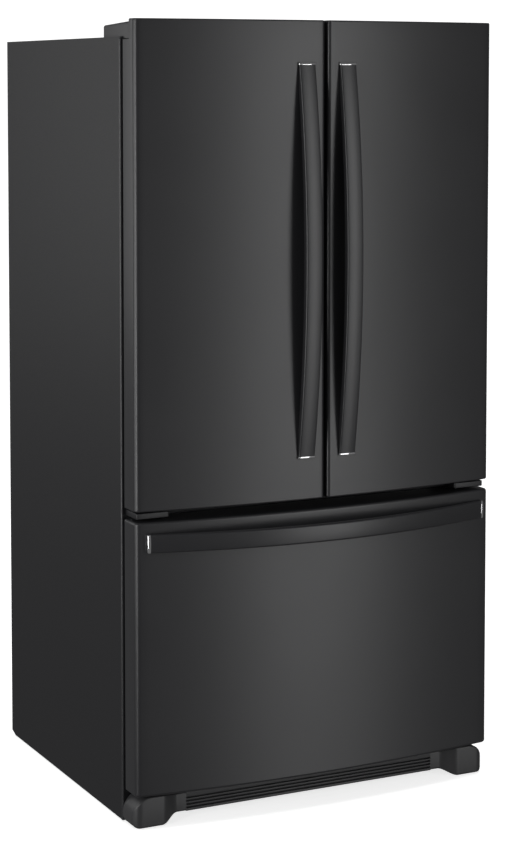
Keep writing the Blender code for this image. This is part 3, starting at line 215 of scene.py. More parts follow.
def clear_sheet(name, tone, roughness, ior, waviness=0.02):
    """Clear moulded plastic or glass: sees through, with faint waves that also vary its gloss."""
    material, tree = new_material(name)
    place = add(tree, "ShaderNodeTexCoord").outputs["Object"]
    waves = add(tree, "ShaderNodeTexNoise", {"Vector": place, "Scale": 12.0, "Detail": 1.0})
    wave = waves.outputs["Fac"]
    gloss = add(
        tree, "ShaderNodeMapRange", {"Value": wave, "To Min": roughness, "To Max": roughness + waviness}
    )
    bump = add(tree, "ShaderNodeBump", {"Height": wave, "Distance": 0.0004, "Strength": 0.3})
    surface = add(tree, "ShaderNodeBsdfPrincipled", {
        "Base Color": linear(tone),
        "Transmission Weight": 1.0,
        "Roughness": gloss.outputs["Result"],
        "Normal": bump.outputs["Normal"],
        "IOR": ior,
    })
    add(tree, "ShaderNodeOutputMaterial", {"Surface": surface.outputs["BSDF"]})
    return material


def plated_metal(name, tone, other_tone, roughness, crystal_mm, depth_mm=0.02):
    """Plated or bare metal: crystals crystal_mm across that differ in tone and gloss, and fine scuffs."""
    material, tree = new_material(name)
    place = add(tree, "ShaderNodeTexCoord").outputs["Object"]
    crystals = add(tree, "ShaderNodeTexVoronoi", {"Vector": place, "Scale": 1000 / crystal_mm})
    scuffs = add(
        tree, "ShaderNodeTexNoise", {"Vector": place, "Scale": 40.0, "Detail": 6.0, "Roughness": 0.7}
    )
    grey = add(tree, "ShaderNodeSeparateColor", {"Color": crystals.outputs["Color"]}).outputs["Red"]
    colour = add(
        tree, "ShaderNodeMixRGB", {"Fac": grey, "Color1": linear(tone), "Color2": linear(other_tone)}
    )
    gloss = add(
        tree, "ShaderNodeMapRange", {"Value": grey, "To Min": roughness * 0.8, "To Max": roughness * 1.25}
    )
    bump = add(tree, "ShaderNodeBump", {"Height": scuffs.outputs["Fac"], "Distance": depth_mm / 1000})
    surface = add(tree, "ShaderNodeBsdfPrincipled", {
        "Base Color": colour.outputs["Color"],
        "Metallic": 1.0,
        "Roughness": gloss.outputs["Result"],
        "Normal": bump.outputs["Normal"],
    })
    add(tree, "ShaderNodeOutputMaterial", {"Surface": surface.outputs["BSDF"]})
    return material


def fibrous(name, tone, other_tone, roughness, cell_mm, depth_mm):
    """Pressed board or foam: a coarse open surface, with painted shade that darkens its hollows."""
    material, tree = new_material(name)
    place = add(tree, "ShaderNodeTexCoord").outputs["Object"]
    cells = add(
        tree,
        "ShaderNodeTexNoise",
        {"Vector": place, "Scale": 1000 / cell_mm, "Detail": 6.0, "Roughness": 0.75},
    )
    pore_height_and_painted_shade = cells.outputs["Fac"]
    # painted shade: where the bump's height is low, the colour mixes towards the darker tone
    colour = add(
        tree, "ShaderNodeMixRGB", {"Fac": pore_height_and_painted_shade, "Color1": linear(tone), "Color2": linear(other_tone)}
    )
    gloss = add(tree, "ShaderNodeMapRange", {"Value": pore_height_and_painted_shade, "To Min": roughness * 0.9, "To Max": roughness})
    bump = add(tree, "ShaderNodeBump", {"Height": pore_height_and_painted_shade, "Distance": depth_mm / 1000})
    surface = add(tree, "ShaderNodeBsdfPrincipled", {
        "Base Color": colour.outputs["Color"],
        "Roughness": gloss.outputs["Result"],
        "Normal": bump.outputs["Normal"],
        "IOR": 1.45,
    })
    add(tree, "ShaderNodeOutputMaterial", {"Surface": surface.outputs["BSDF"]})
    return material


# Front enamel: smooth and semi-gloss, so the eye sees long soft reflections that follow the bow.
FRONT_ENAMEL = baked_enamel("semi_gloss_black_enamel", "#2a2a2c", "#2d2d2f", 0.30, 2.2, 0.006)
# Side enamel: pebbled against finger marks, the pebbles 2.4 mm apart.
SIDE_ENAMEL = stippled_enamel("stippled_black_enamel", "#17171a", "#1a1a1c", 0.46, 2.4, 0.10)
# Chrome-plated ABS end caps: a bright hard mirror.
CHROME = plated_metal("bright_chrome_plating", "#f4f4f6", "#fbfbfc", 0.07, 60.0, 0.0)
# Black ABS of the base and hinge caps: low sheen with a fine grain.
BLACK_ABS = moulded_plastic("black_abs_moulding", "#323234", "#373738", 0.42, 0.9, 0.03)
# Vacuum-formed polystyrene inner walls: clean white with a soft shine.
LINER_HIPS = moulded_plastic("vacuum_formed_polystyrene", "#eef0f0", "#f3f5f5", 0.34, 2.5, 0.02, 1.59, 0.05)
# Moulded white plastic of trims, baskets and covers: a little warmer and duller than the liner.
WHITE_ABS = moulded_plastic("white_abs_moulding", "#e6e8e8", "#eceded", 0.42, 0.8, 0.02, 1.53, 0.03)
GREY_ABS = moulded_plastic("light_grey_abs_moulding", "#b4b8ba", "#babdbf", 0.40, 0.8, 0.02)
# Clear styrene-acrylonitrile drawers and bins.
CLEAR_SAN = clear_sheet("clear_san_moulding", "#eef4f6", 0.03, 1.57)
# Toughened shelf glass, faintly green in its thickness.
SHELF_GLASS = clear_sheet("toughened_soda_glass", "#e2f0ea", 0.005, 1.52, 0.005)
# Frosted lamp cover.
LAMP_COVER = clear_sheet("frosted_polycarbonate", "#f6f7f5", 0.45, 1.58, 0.05)
# Soft PVC seal: charcoal and matt.
SEAL_PVC = moulded_plastic("soft_pvc_seal", "#1c1c1d", "#222223", 0.62, 1.5, 0.04)
# Bright zinc plate on brackets, slides and feet; small crystals.
ZINC_PLATE = plated_metal("bright_zinc_plate", "#b9bcc0", "#c6c9cc", 0.32, 6.0)
# Hot-dip galvanised sheet of the back; crystals a centimetre across.
GALVANISED = plated_metal("galvanised_sheet", "#9da2a6", "#b4b8bb", 0.42, 12.0, 0.03)
# Dipped black enamel of the condenser, and the smoother enamel of the compressor pot.
CONDENSER_BLACK = moulded_plastic("black_dipped_steel", "#141414", "#1a1a1a", 0.5, 2.0, 0.05)
POT_ENAMEL = baked_enamel("compressor_black_enamel", "#0b0b0b", "#101010", 0.34, 1.6, 0.03)
# Rollers: milky nylon.
NYLON = moulded_plastic("natural_nylon", "#c9c6bd", "#d1cec6", 0.55, 1.2, 0.03, 1.53, 0.08)
# Vented cover of pressed hardboard, and the foam that shows only where the cabinet is cut.
HARDBOARD = fibrous("pressed_hardboard", "#5a4a38", "#6b5945", 0.8, 1.6, 0.10)
FOAM = fibrous("polyurethane_foam", "#d8c79a", "#e6d8b2", 0.95, 1.2, 0.30)


# ---- shapes as arrays of points ---------------------------------------------------------------------
def facing_out(points, quads, caps):
    """Turns every face round if the volume they enclose comes out negative."""
    quads = np.asarray(quads)
    a, b, c, d = (points[quads[:, i]] for i in range(4))
    volume = np.einsum("ij,ij->", a, np.cross(b, c) + np.cross(c, d))
    for cap in caps:
        ring = points[cap]
        volume += np.einsum("j,ij->", ring[0], np.cross(ring[1:-1], ring[2:]))
    faces = quads.tolist() + [list(cap) for cap in caps]
    return (points, faces if volume > 0 else [face[::-1] for face in faces])


def loft(rings):
    """A skin through closed rings of points, an array (rings, points, 3), with flat ends."""
    rings = np.asarray(rings, float)
    count, size = rings.shape[:2]
    index = np.arange(count * size).reshape(count, size)
    along = np.roll(index, -1, axis=1)
    quads = np.stack([index[:-1], along[:-1], along[1:], index[1:]], axis=-1).reshape(-1, 4)
    return facing_out(rings.reshape(-1, 3), quads, [index[0][::-1].tolist(), index[-1].tolist()])


def hoop(rings):
    """A skin through closed rings that come back to the first one, so it closes both ways."""
    rings = np.asarray(rings, float)
    count, size = rings.shape[:2]
    index = np.arange(count * size).reshape(count, size)
    along, next_ring = np.roll(index, -1, axis=1), np.roll(index, -1, axis=0)
    quads = np.stack([index, along, np.roll(along, -1, axis=0), next_ring], axis=-1).reshape(-1, 4)
    return facing_out(rings.reshape(-1, 3), quads, [])


def rounded_rectangle(x0, x1, y0, y1, radius, steps=5):
    """Points round a rectangle whose corners are quarter circles, anticlockwise, as an array (points, 2)."""
    turn = np.linspace(0, np.pi / 2, steps + 1)
    centres = [(x1 - radius, y1 - radius), (x0 + radius, y1 - radius)]
    centres += [(x0 + radius, y0 + radius), (x1 - radius, y0 + radius)]
    corners = []
    for quarter, (cx, cy) in enumerate(centres):
        angle = turn + quarter * np.pi / 2
        corners.append(np.stack([cx + radius * np.cos(angle), cy + radius * np.sin(angle)], -1))
    return np.concatenate(corners)


def swapped(points, axis):
    """Turns a shape drawn along z so that it runs along another axis."""
    order = {"Z": [0, 1, 2], "X": [2, 0, 1], "Y": [0, 2, 1]}[axis]
    return points[..., order]


def block(low, high, radius, axis="Z", corner=None, steps=4):
    """A block with soft edges: rounded rectangles along the axis, drawn in by a quarter circle at each end.

    corner is the radius of the edges that run along the axis, and is the same as radius unless it is given.
    """
    order = {"Z": [0, 1, 2], "X": [1, 2, 0], "Y": [0, 2, 1]}[axis]
    low, high = np.array(low, float)[order], np.array(high, float)[order]
    corner = corner or radius
    turn = np.linspace(0, np.pi / 2, steps + 1)
    inset = radius * (1 - np.sin(turn))
    level = low[2] + radius * (1 - np.cos(turn))
    insets = np.concatenate([inset, inset[::-1]])
    levels = np.concatenate([level, (high[2] - (level - low[2]))[::-1]])
    rings = []
    for inward, z in zip(insets, levels):
        soft = max(corner - inward, 0.0001)
        flat = rounded_rectangle(low[0] + inward, high[0] - inward, low[1] + inward, high[1] - inward, soft)
        rings.append(np.column_stack([flat, np.full(len(flat), z)]))
    return loft(swapped(np.array(rings), axis))


def turned(profile, centre, axis="Z", sides=32):
    """A profile of (radius, height) points spun round an axis through centre, closed flat at both ends."""
    profile = np.array(profile, float)
    turn = np.linspace(0, 2 * np.pi, sides, endpoint=False)
    x = profile[:, :1] * np.cos(turn)
    y = profile[:, :1] * np.sin(turn)
    z = np.repeat(profile[:, 1:], sides, axis=1)
    return loft(swapped(np.stack([x, y, z], -1), axis) + np.array(centre))


def pipe(path, radius, sides=10, up=(0, 0, 1)):
    """A round tube: circles set square to a path of points."""
    path = np.array(path, float)
    along = np.gradient(path, axis=0)
    along /= np.linalg.norm(along, axis=1, keepdims=True)
    side = np.cross(along, np.array(up, float))
    side /= np.linalg.norm(side, axis=1, keepdims=True)
    rise = np.cross(side, along)
    turn = np.linspace(0, 2 * np.pi, sides, endpoint=False)[None, :, None]
    return loft(path[:, None] + radius * (np.cos(turn) * side[:, None] + np.sin(turn) * rise[:, None]))


def softened(path, radius, steps=6):
    """A path of straight runs with round corners.

    Each corner is a quadratic curve that starts radius before it and ends radius after it.
    """
    path = np.array(path, float)
    out = [path[:1]]
    share = np.linspace(0, 1, steps)[:, None]
    for before, at, after in zip(path, path[1:], path[2:]):
        start = at + (before - at) / np.linalg.norm(before - at) * radius
        end = at + (after - at) / np.linalg.norm(after - at) * radius
        out.append((1 - share) ** 2 * start + 2 * share * (1 - share) * at + share**2 * end)
    return np.concatenate(out + [path[-1:]])


def piece(name, shells, material, body, replaces=(), sharp=32):
    """Joins shells of points and faces into one named mesh, finishes it and hangs it on its body."""
    points, faces, start = [], [], 0
    for shell_points, shell_faces in shells:
        points.append(shell_points)
        faces += [[start + i for i in face] for face in shell_faces]
        start += len(shell_points)
    points = np.concatenate(points) + np.array([0, FRONT, 0])
    mesh = bpy.data.meshes.new(name)
    mesh.from_pydata(points.tolist(), [], faces)
    mesh.materials.append(material)
    mesh.shade_smooth()
    mesh.set_sharp_from_angle(angle=math.radians(sharp))
    obj = bpy.data.objects.new(name, mesh)
    bpy.context.scene.collection.objects.link(obj)
    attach(obj, body)
    if replaces:
        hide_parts(*replaces)
    return obj


# ---- the bowed front -----------------------------------------------------------------------------------
def face_y(x):
    """The doors' and drawer's front surface: a shallow parabola over the whole width."""
    return FACE_MIDDLE + BOW * (np.asarray(x) / HALF) ** 2


def face_tilt(x):
    """Angle of the face's normal away from -y."""
    return np.arctan(2 * BOW * np.asarray(x) / HALF**2)


def front_plan(x0, x1, radius0, radius1, inset, steps=44):
    """Plan of a front panel's outside: rear corner, side, rounding, bowed face, rounding, side, rear corner.

    Every point stands inset inside the full outline.
    """
    ends = []
    for x_edge, radius, side in ((x0, radius0, -1), (x1, radius1, 1)):
        foot = x_edge - side * radius
        for _ in range(4):
            foot = x_edge - side * radius + radius * math.sin(face_tilt(foot))
        middle = np.array([x_edge - side * radius, face_y(foot) + radius * math.cos(face_tilt(foot))])
        ends.append((foot, middle, radius - inset))
    (foot0, middle0, soft0), (foot1, middle1, soft1) = ends
    turn0 = np.linspace(np.pi, 1.5 * np.pi + face_tilt(foot0), 10)
    turn1 = np.linspace(1.5 * np.pi + face_tilt(foot1), 2 * np.pi, 10)
    x = np.linspace(foot0, foot1, steps)[1:-1]
    tilt = face_tilt(x)
    return np.concatenate([
        middle0 + soft0 * np.stack([np.cos(turn0), np.sin(turn0)], -1),
        np.stack([x - inset * np.sin(tilt), face_y(x) + inset * np.cos(tilt)], -1),
        middle1 + soft1 * np.stack([np.cos(turn1), np.sin(turn1)], -1),
    ])


def front_panel(x0, x1, radius0, radius1, bottom, top, soft, shoulder=None):
    """A pressed front: its plan carried up, drawn in by quarter circles at the top and bottom edges.

    The rear has a shallow recess that the inner panel fills. Above the shoulder the rear moves forward.
    """
    back, recess, rim = DOOR_REAR, DOOR_REAR - RECESS, SKIN

    def ring(z, inset, rear, hollow):
        plan = front_plan(x0, x1, radius0, radius1, inset)
        deep = recess if hollow else rear
        tail = [(x1 - inset, rear), (x1 - rim, rear), (x1 - rim, deep), (x0 + rim, deep), (x0 + rim, rear)]
        outline = np.concatenate([plan, np.array(tail + [(x0 + inset, rear)])])
        return np.column_stack([outline, np.full(len(outline), z)])

    turn = np.linspace(0, np.pi / 2, 7)
    inset, rise = soft * (1 - np.sin(turn)), soft * (1 - np.cos(turn))
    rings = [ring(bottom + up, inward, back, False) for inward, up in zip(inset, rise)]
    ceiling = shoulder or top - soft
    rings += [ring(bottom + soft + 0.0004, 0, back, True), ring(ceiling - rim, 0, back, True)]
    rings += [ring(ceiling - rim + 0.0002, 0, back, False)]
    if shoulder:
        rings += [ring(shoulder, 0, back, False), ring(shoulder, 0, LIP_REAR, False)]
        back = LIP_REAR
    rings += [ring(top - up, inward, back, False) for inward, up in zip(inset[::-1], rise[::-1])]
    return loft(rings)


def bar_profile(end, reach, share):
    """Standoff of a handle's front face, an arch from one end at share -1 to the other at +1."""
    return end + (reach - end) * (1 - share**2)


def handle_rings(shares, place, front_of, rear_of, along_of, half, soft):
    """Sections of an arched bar: rectangles with quarter-circle edges, a parabola crowning the front.

    front_of, rear_of and along_of give a section's front, rear and place for a share from -1 to +1.
    """
    turn = np.linspace(0, np.pi / 2, 6)
    rings = []
    for share in shares:
        front, rear, along = front_of(share), rear_of(share), along_of(share)
        edge = min(soft, (rear - front) * 0.45)
        across = np.linspace(-1, 1, 9)
        section = [
            np.stack([half - edge + edge * np.sin(turn), rear - edge + edge * np.cos(turn)], -1),
            np.stack([half - edge + edge * np.cos(turn), front + edge - edge * np.sin(turn)], -1),
            np.stack([-across * (half - edge), front - GRIP_CROWN * (1 - across**2)], -1)[1:-1],
            np.stack([-half + edge - edge * np.sin(turn), front + edge - edge * np.cos(turn)], -1),
            np.stack([-half + edge - edge * np.cos(turn), rear - edge + edge * np.sin(turn)], -1),
        ]
        section = np.concatenate(section)
        rings.append(place(np.full(len(section), along), section[:, 0], section[:, 1]))
    return rings


def end_cap(place, front_of, rear_of, along_of, half, soft, sign, length, proud=0.0006):
    """A bright cap on a handle's end: a band that stands a hair proud, with its outer edge rolled over."""
    roll, radius = np.linspace(0, np.pi / 2, 7), 0.0022
    lengths = np.concatenate([[length], [length * 0.98], radius * (1 - np.sin(roll))])
    draw_in = np.concatenate([[-CAP_STEP, -proud], radius * (1 - np.cos(roll)) - proud])
    at_end = along_of(sign)
    rings = []
    for back_off, inward in zip(lengths, draw_in):
        share = sign * (1 - back_off / abs(at_end - along_of(0)))
        ring = handle_rings(
            [share],
            place,
            lambda s: front_of(s) + inward,
            lambda s: rear_of(s) - max(inward, 0),
            along_of,
            half - inward,
            soft,
        )[0]
        rings.append(ring)
    return loft(rings)


def make_door(side, name):
    """One door: its enamelled skin, and an arched handle with a chrome cap on each end."""
    body = name + "_door"
    edges = (-HALF, -DOOR_GAP_HALF, OUTER_RADIUS, INNER_RADIUS)
    if side > 0:
        edges = (DOOR_GAP_HALF, HALF, INNER_RADIUS, OUTER_RADIUS)
    skin = front_panel(*edges, DOOR_LOW[2], DOOR_HIGH[2], DOOR_EDGE, DOOR_SHOULDER)
    piece(body + "_skin", [skin], FRONT_ENAMEL, body, [body + "_shell"])

    low, high = local_box(body + "_handle")
    centre_x, half = (low[0] + high[0]) / 2, (high[0] - low[0]) / 2
    middle, reach = (low[2] + high[2]) / 2, (high[2] - low[2]) / 2
    surface = face_y(abs(centre_x) - half)

    def place(along, across, y):
        return np.stack([centre_x + across, y, along], -1)

    def front_of(share):
        return surface - bar_profile(*DOOR_STANDOFF, share)

    def rear_of(share):
        return min(front_of(share) + GRIP_DEPTH, surface - GRIP_GAP)

    def along_of(share):
        return middle + reach * share

    cap, soft = 0.0055, 0.0035
    limit = 1 - cap / reach
    shares = np.sin(np.linspace(-np.pi / 2, np.pi / 2, 61)) * limit
    bar = loft(handle_rings(shares, place, front_of, rear_of, along_of, half - CAP_STEP, soft))
    piece(body + "_grip", [bar], FRONT_ENAMEL, body, [body + "_handle"])
    for sign, end in ((1, "top"), (-1, "bottom")):
        bright = end_cap(place, front_of, rear_of, along_of, half, soft, sign, cap)
        piece("%s_grip_cap_%s" % (body, end), [bright], CHROME, body)


def make_drawer():
    """The freezer drawer's front and its level arched handle."""
    body = "freezer_drawer"
    panel = front_panel(-HALF, HALF, OUTER_RADIUS, OUTER_RADIUS, DRAWER_LOW[2], DRAWER_HIGH[2], DRAWER_EDGE)
    piece("freezer_drawer_skin", [panel], FRONT_ENAMEL, body, ["drawer_shell"])

    low, high = local_box("drawer_handle")
    reach, level, half = high[0], (low[2] + high[2]) / 2, (high[2] - low[2]) / 2

    def place(along, across, y):
        return np.stack([along, y, level + across], -1)

    def front_of(share):
        return float(face_y(reach * share)) - bar_profile(*DRAWER_STANDOFF, share)

    def rear_of(share):
        return min(front_of(share) + GRIP_DEPTH, float(face_y(reach * share)) - GRIP_GAP)

    def along_of(share):
        return reach * share

    cap, soft = 0.0065, 0.0045
    shares = np.sin(np.linspace(-np.pi / 2, np.pi / 2, 61)) * (1 - cap / reach)
    bar = loft(handle_rings(shares, place, front_of, rear_of, along_of, half - CAP_STEP, soft))
    piece("freezer_drawer_grip", [bar], FRONT_ENAMEL, body, ["drawer_handle"])
    for sign, end in ((1, "right"), (-1, "left")):
        bright = end_cap(place, front_of, rear_of, along_of, half, soft, sign, cap)
        piece("freezer_drawer_grip_cap_" + end, [bright], CHROME, body)


def make_seal(node, body):
    """A magnetic door seal: a closed loop whose section is a flat foot, a bellows fold and a magnet pocket.

    section holds its corners, as shares of the seal's width inward and of its depth to the rear.
    """
    low, high = local_box(node)
    depth = high[1] - low[1]
    section = np.array([
        (0.0, 0.0), (1.0, 0.0), (1.0, 0.12), (0.80, 0.20), (0.74, 0.32), (0.92, 0.42), (0.96, 0.52),
        (1.0, 0.60), (1.0, 0.90), (0.94, 1.0), (0.10, 1.0), (0.02, 0.92), (0.0, 0.62), (0.05, 0.52),
        (0.24, 0.42), (0.16, 0.30), (0.06, 0.18),
    ])
    rings = []
    for across, up in section:
        inward = across * SEAL_WIDTH
        soft = SEAL_CORNER - inward * 0.8
        x0, x1, z0, z1 = low[0] + inward, high[0] - inward, low[2] + inward, high[2] - inward
        flat = rounded_rectangle(x0, x1, z0, z1, soft, 6)
        rings.append(np.stack([flat[:, 0], np.full(len(flat), low[1] + up * depth), flat[:, 1]], -1))
    piece(node + "_bellows", [hoop(rings)], SEAL_PVC, body, [node], 50)


# ---- hinge caps, brackets and base ----------------------------------------------------------------------
def make_hinge_cap(name):
    """Cap over a top hinge: rounded plan, a top that falls to the rear, and a soft upper edge all round.

    Rings of the plan rise through the skirt, then draw in by a quarter circle. The fall grows evenly.
    """
    low, high = local_box("hinge_cover_" + name)
    drop, soft, corner = 0.007, 0.006, 0.0078
    seat = CABINET_TOP + 0.0004
    turn = np.linspace(0, np.pi / 2, 8)

    def ring(height, inset, front_only):
        plan = rounded_rectangle(
            low[0] + inset, high[0] - inset, low[1] + inset, high[1] - inset, max(corner - inset, 0.0012), 8
        )
        fall = drop * np.clip(plan[:, 1] / high[1], 0, 1)
        if front_only:
            z = np.where(plan[:, 1] < -0.0005, low[2], seat)
        else:
            z = seat + (high[2] - seat - fall) * height
        return np.column_stack([plan, z])

    rings = [ring(0, 0.0, True), ring(0.02, 0.0, False)]
    rings += [
        ring(1 - soft * (1 - np.sin(t)) / (high[2] - seat), soft * (1 - np.cos(t)), False) for t in turn
    ]
    rings += [ring(1.0, soft + 0.012, False), ring(1.0, soft + 0.024, False)]
    node = "hinge_cover_" + name
    piece("hinge_cap_" + name, [loft(rings)], BLACK_ABS, "cabinet", [node])


def screw_head(centre, axis="Z", radius=0.0045, sign=1):
    """A pan-head screw: a quarter circle turned into a low dome on a short upright rim, without a recess."""
    t = np.linspace(0, np.pi / 2, 6)
    rim = [(radius, 0.0), (radius, 0.0006)]
    dome = [(radius * math.cos(a) + 0.0004, 0.0006 + 0.0016 * math.sin(a)) for a in t[:-1]]
    profile = [(r, sign * h) for r, h in rim + dome + [(0.0005, 0.0022)]]
    return turned(profile, centre, axis, 16)


def make_centre_bracket(side, name):
    """The bracket between door and drawer: a plate with soft edges, and its stepped hinge pin."""
    low, high = local_box("centre_hinge_" + name)
    plate_top = low[2] + BRACKET_THICKNESS
    plate = block((low[0], low[1], low[2]), (high[0], high[1], plate_top), 0.0015, corner=0.004)
    pin = turned(
        [(0.0040, plate_top - 0.004), (0.0062, plate_top - 0.002), (0.0062, plate_top + 0.0012),
         (0.0039, plate_top + 0.0020), (0.0039, high[2] - 0.001), (0.0030, high[2])],
        (side * (HALF - PIN_INSET), -PIN_FORWARD, 0),
    )
    node = "centre_hinge_" + name
    piece("centre_bracket_" + name, [plate, pin], SIDE_ENAMEL, "cabinet", [node])


def smooth_step(t):
    """The cubic that runs from 0 to 1 with level ends."""
    t = np.clip(t, 0, 1)
    return t * t * (3 - 2 * t)


def make_foot_cover(side, name):
    """Front corner cover: upright sections from the outer side to the first louvre.

    Each section is a rounded rectangle of some depth. Towards the grille the depth, the sole and the top run
    over into the grille's along the cubic of smooth_step. The outer end turns back in a quarter circle, and
    its shoulder and heel are quarter circles too.
    """
    low, high = local_box("foot_cover_" + name)
    grille_low, grille_high = local_box("base_grille")
    outer, inner = max(abs(low[0]), abs(high[0])), grille_high[0] - LOUVRE_MARGIN
    foot_end, run_over = grille_high[0] + 0.011, 0.045
    bottom, top, reach = 0.0014, high[2], -low[1]
    shoulder, heel, corner = 0.042, 0.014, 0.020
    turn = np.linspace(0, np.pi / 2, 12)
    x = np.concatenate([outer - corner * (1 - np.cos(turn)), np.linspace(outer - corner, inner, 50)[1:]])
    x = np.unique(np.round(x, 6))[::-1]
    share = smooth_step((x - foot_end) / run_over + 1)
    round_off = np.clip(x - (outer - corner), 0, corner)
    depth = -grille_low[1] + (reach + grille_low[1]) * share - corner + np.sqrt(corner**2 - round_off**2)
    over = np.clip(x - (outer - shoulder), 0, shoulder)
    roof = grille_high[2] + (top - grille_high[2]) * share - shoulder + np.sqrt(shoulder**2 - over**2)
    under = np.clip(x - (outer - heel), 0, heel)
    sole = grille_low[2] + (bottom - grille_low[2]) * share + heel - np.sqrt(heel**2 - under**2)
    rings = []
    for xi, di, hi, lo in zip(x, depth, roof, sole):
        soft = min(0.005, (hi - lo) * 0.3)
        front = rounded_rectangle(-di, -0.0003, lo, hi, soft, 5)
        rings.append(np.column_stack([np.full(len(front), side * xi), front]))
    node = "foot_cover_" + name
    piece("base_corner_" + name, [loft(rings)], BLACK_ABS, "cabinet", [node])


def make_front_hem():
    """The folded front edge of the cabinet's sides and top: a round bead, a hair proud of the corner."""
    radius, proud = 0.0040, 0.0013
    sunk = radius - proud
    low, high = HALF - sunk, CABINET_TOP - sunk
    foot = CABINET_LOW[2]
    path = softened([(-low, sunk, foot), (-low, sunk, high), (low, sunk, high), (low, sunk, foot)], radius)
    piece("cabinet_front_hem", [pipe(path, radius, 20, (0, 1, 0))], FRONT_ENAMEL, "cabinet")


def make_grille():
    """Base grille: bars with soft edges between level louvre slots, before a backing sheet.

    Its plain ends run over into the corner covers, which are drawn with them.
    """
    low, high = local_box("base_grille")
    slot, count = 0.0034, 4
    pitch = (high[2] - low[2] - 0.014) / count
    first = low[2] + 0.006
    half = high[0] - LOUVRE_MARGIN + 0.001
    edges = [low[2]] + [first + i * pitch + d for i in range(count) for d in (0, slot)] + [high[2]]
    shells = [
        block((-half, low[1], z0), (half, low[1] + 0.006, z1), 0.0009, "X")
        for z0, z1 in zip(edges[::2], edges[1::2])
    ]
    shells.append(block((-half, low[1] + 0.007, low[2]), (half, low[1] + 0.011, high[2]), 0.001, "X"))
    piece("base_louvres", shells, BLACK_ABS, "cabinet", ["base_grille"])


# ---- inside ---------------------------------------------------------------------------------------------
def make_shelf_trims():
    """Front and rear rails of the glass shelves: bars with round edges, the rear one above the glass."""
    for node in ("shelf_upper_left", "shelf_upper_right", "shelf_lower", "crisper_shelf"):
        low, high = local_box(node)
        top = high[2]
        nose = block(
            (low[0] + 0.001, low[1] - 0.006, top - 0.016), (high[0] - 0.001, low[1] + 0.010, top + 0.0025),
            0.0040, "X", 0.0045,
        )
        rear = block(
            (low[0] + 0.001, high[1] - 0.008, top - 0.009), (high[0] - 0.001, high[1] + 0.003, top + 0.006),
            0.0025, "X", 0.003,
        )
        piece(node + "_trim", [nose, rear], WHITE_ABS, "cabinet")


def make_bin_rims():
    """A round rim along the top of each door bin, over both ends and the wall away from the door."""
    for name in ("left", "right"):
        for level in ("lower", "middle", "upper"):
            node = "%s_door_bin_%s" % (name, level)
            low, high = local_box(node)
            inset = 0.00125
            path = softened(
                [(low[0] + inset, low[1] + 0.004, high[2]), (low[0] + inset, high[1] - inset, high[2]),
                 (high[0] - inset, high[1] - inset, high[2]), (high[0] - inset, low[1] + 0.004, high[2])],
                0.012,
            )
            piece(node + "_rim", [pipe(path, 0.0026)], GREY_ABS, name + "_door")


def make_crisper_fronts():
    """Each crisper's front: a white pull rail, and a narrower lip that stands forward under it."""
    for name in ("left", "right"):
        node = "crisper_" + name
        low, high = local_box(node)
        x0, x1, front, top = low[0], high[0], low[1], high[2]
        rail = block(
            (x0 + 0.002, front - 0.010, top - 0.030), (x1 - 0.002, front + 0.001, top - 0.001),
            0.004, "X", 0.0045,
        )
        lip = block(
            (x0 + 0.06, front - 0.016, top - 0.034), (x1 - 0.06, front - 0.004, top - 0.026),
            0.003, "X", 0.0035,
        )
        piece(node + "_pull", [rail, lip], WHITE_ABS, node)


def make_lamp():
    """Lamp cover under the control housing: its sole hangs by a half sine, and its ribs are a cosine."""
    low, high = local_box("control_panel")
    x = np.linspace(-0.080, 0.080, 161)
    ribs = 0.0006 * np.cos(x * 2 * np.pi / 0.005)
    rings = []
    for share, y in zip((0, 0.15, 0.35, 0.65, 0.85, 1), np.linspace(low[1] + 0.012, high[1] - 0.012, 6)):
        bulge = 0.008 * math.sin(math.pi * share)
        sole = low[2] - 0.001 - bulge + ribs
        top = np.full(len(x), low[2] + 0.0005)
        ring = np.concatenate([
            np.stack([x, np.full(len(x), y), np.minimum(sole, low[2] - 0.0002)], -1),
            np.stack([x, np.full(len(x), y), top], -1)[::-1],
        ])
        rings.append(ring)
    piece("lamp_diffuser", [loft(rings)], LAMP_COVER, "cabinet")


def make_basket_rims():
    """Round rims along the front and rear walls of the two freezer baskets."""
    for node, body in (("lower_basket", "freezer_drawer"), ("upper_basket", "upper_basket")):
        low, high = local_box(node)
        rims = [
            pipe([(low[0] + 0.03, y, high[2]), (0, y, high[2]), (high[0] - 0.03, y, high[2])], 0.0035)
            for y in (low[1] + 0.002, high[1] - 0.002)
        ]
        piece(node + "_rim", rims, WHITE_ABS, body)


def make_back():
    """Screws of the rear cover and back panel."""
    low, high = local_box("rear_cover")
    y = high[1] + 0.0002
    heads = []
    for x in np.linspace(low[0] + 0.015, high[0] - 0.015, 5):
        for z in (low[2] + 0.010, high[2] - 0.010):
            heads.append(screw_head((x, y, z), "Y"))
    plow, phigh = local_box("back_panel")
    for x in (plow[0] + 0.012, phigh[0] - 0.012):
        for z in np.linspace(high[2] + 0.04, phigh[2] - 0.02, 6):
            heads.append(screw_head((x, phigh[1] + 0.0002, z), "Y"))
    piece("back_screws", heads, ZINC_PLATE, "cabinet")


def make_hinge_screws():
    """Screw heads under each centre bracket."""
    heads = []
    for side in (-1, 1):
        low, high = local_box("centre_hinge_left" if side < 0 else "centre_hinge_right")
        for x in np.linspace(low[0] + 0.012, high[0] - 0.012, 3):
            heads.append(screw_head((x, -0.010, low[2] - 0.0001), "Z", 0.004, -1))
    piece("bracket_screws", heads, ZINC_PLATE, "cabinet")


for side, name in ((-1, "left"), (1, "right")):
    make_door(side, name)
    make_seal(name + "_door_gasket", name + "_door")
    make_hinge_cap(name)
    make_centre_bracket(side, name)
    make_foot_cover(side, name)
make_drawer()
make_seal("drawer_gasket", "freezer_drawer")
make_grille()
make_front_hem()
make_shelf_trims()
make_bin_rims()
make_crisper_fronts()
make_lamp()
make_basket_rims()
make_back()
make_hinge_screws()

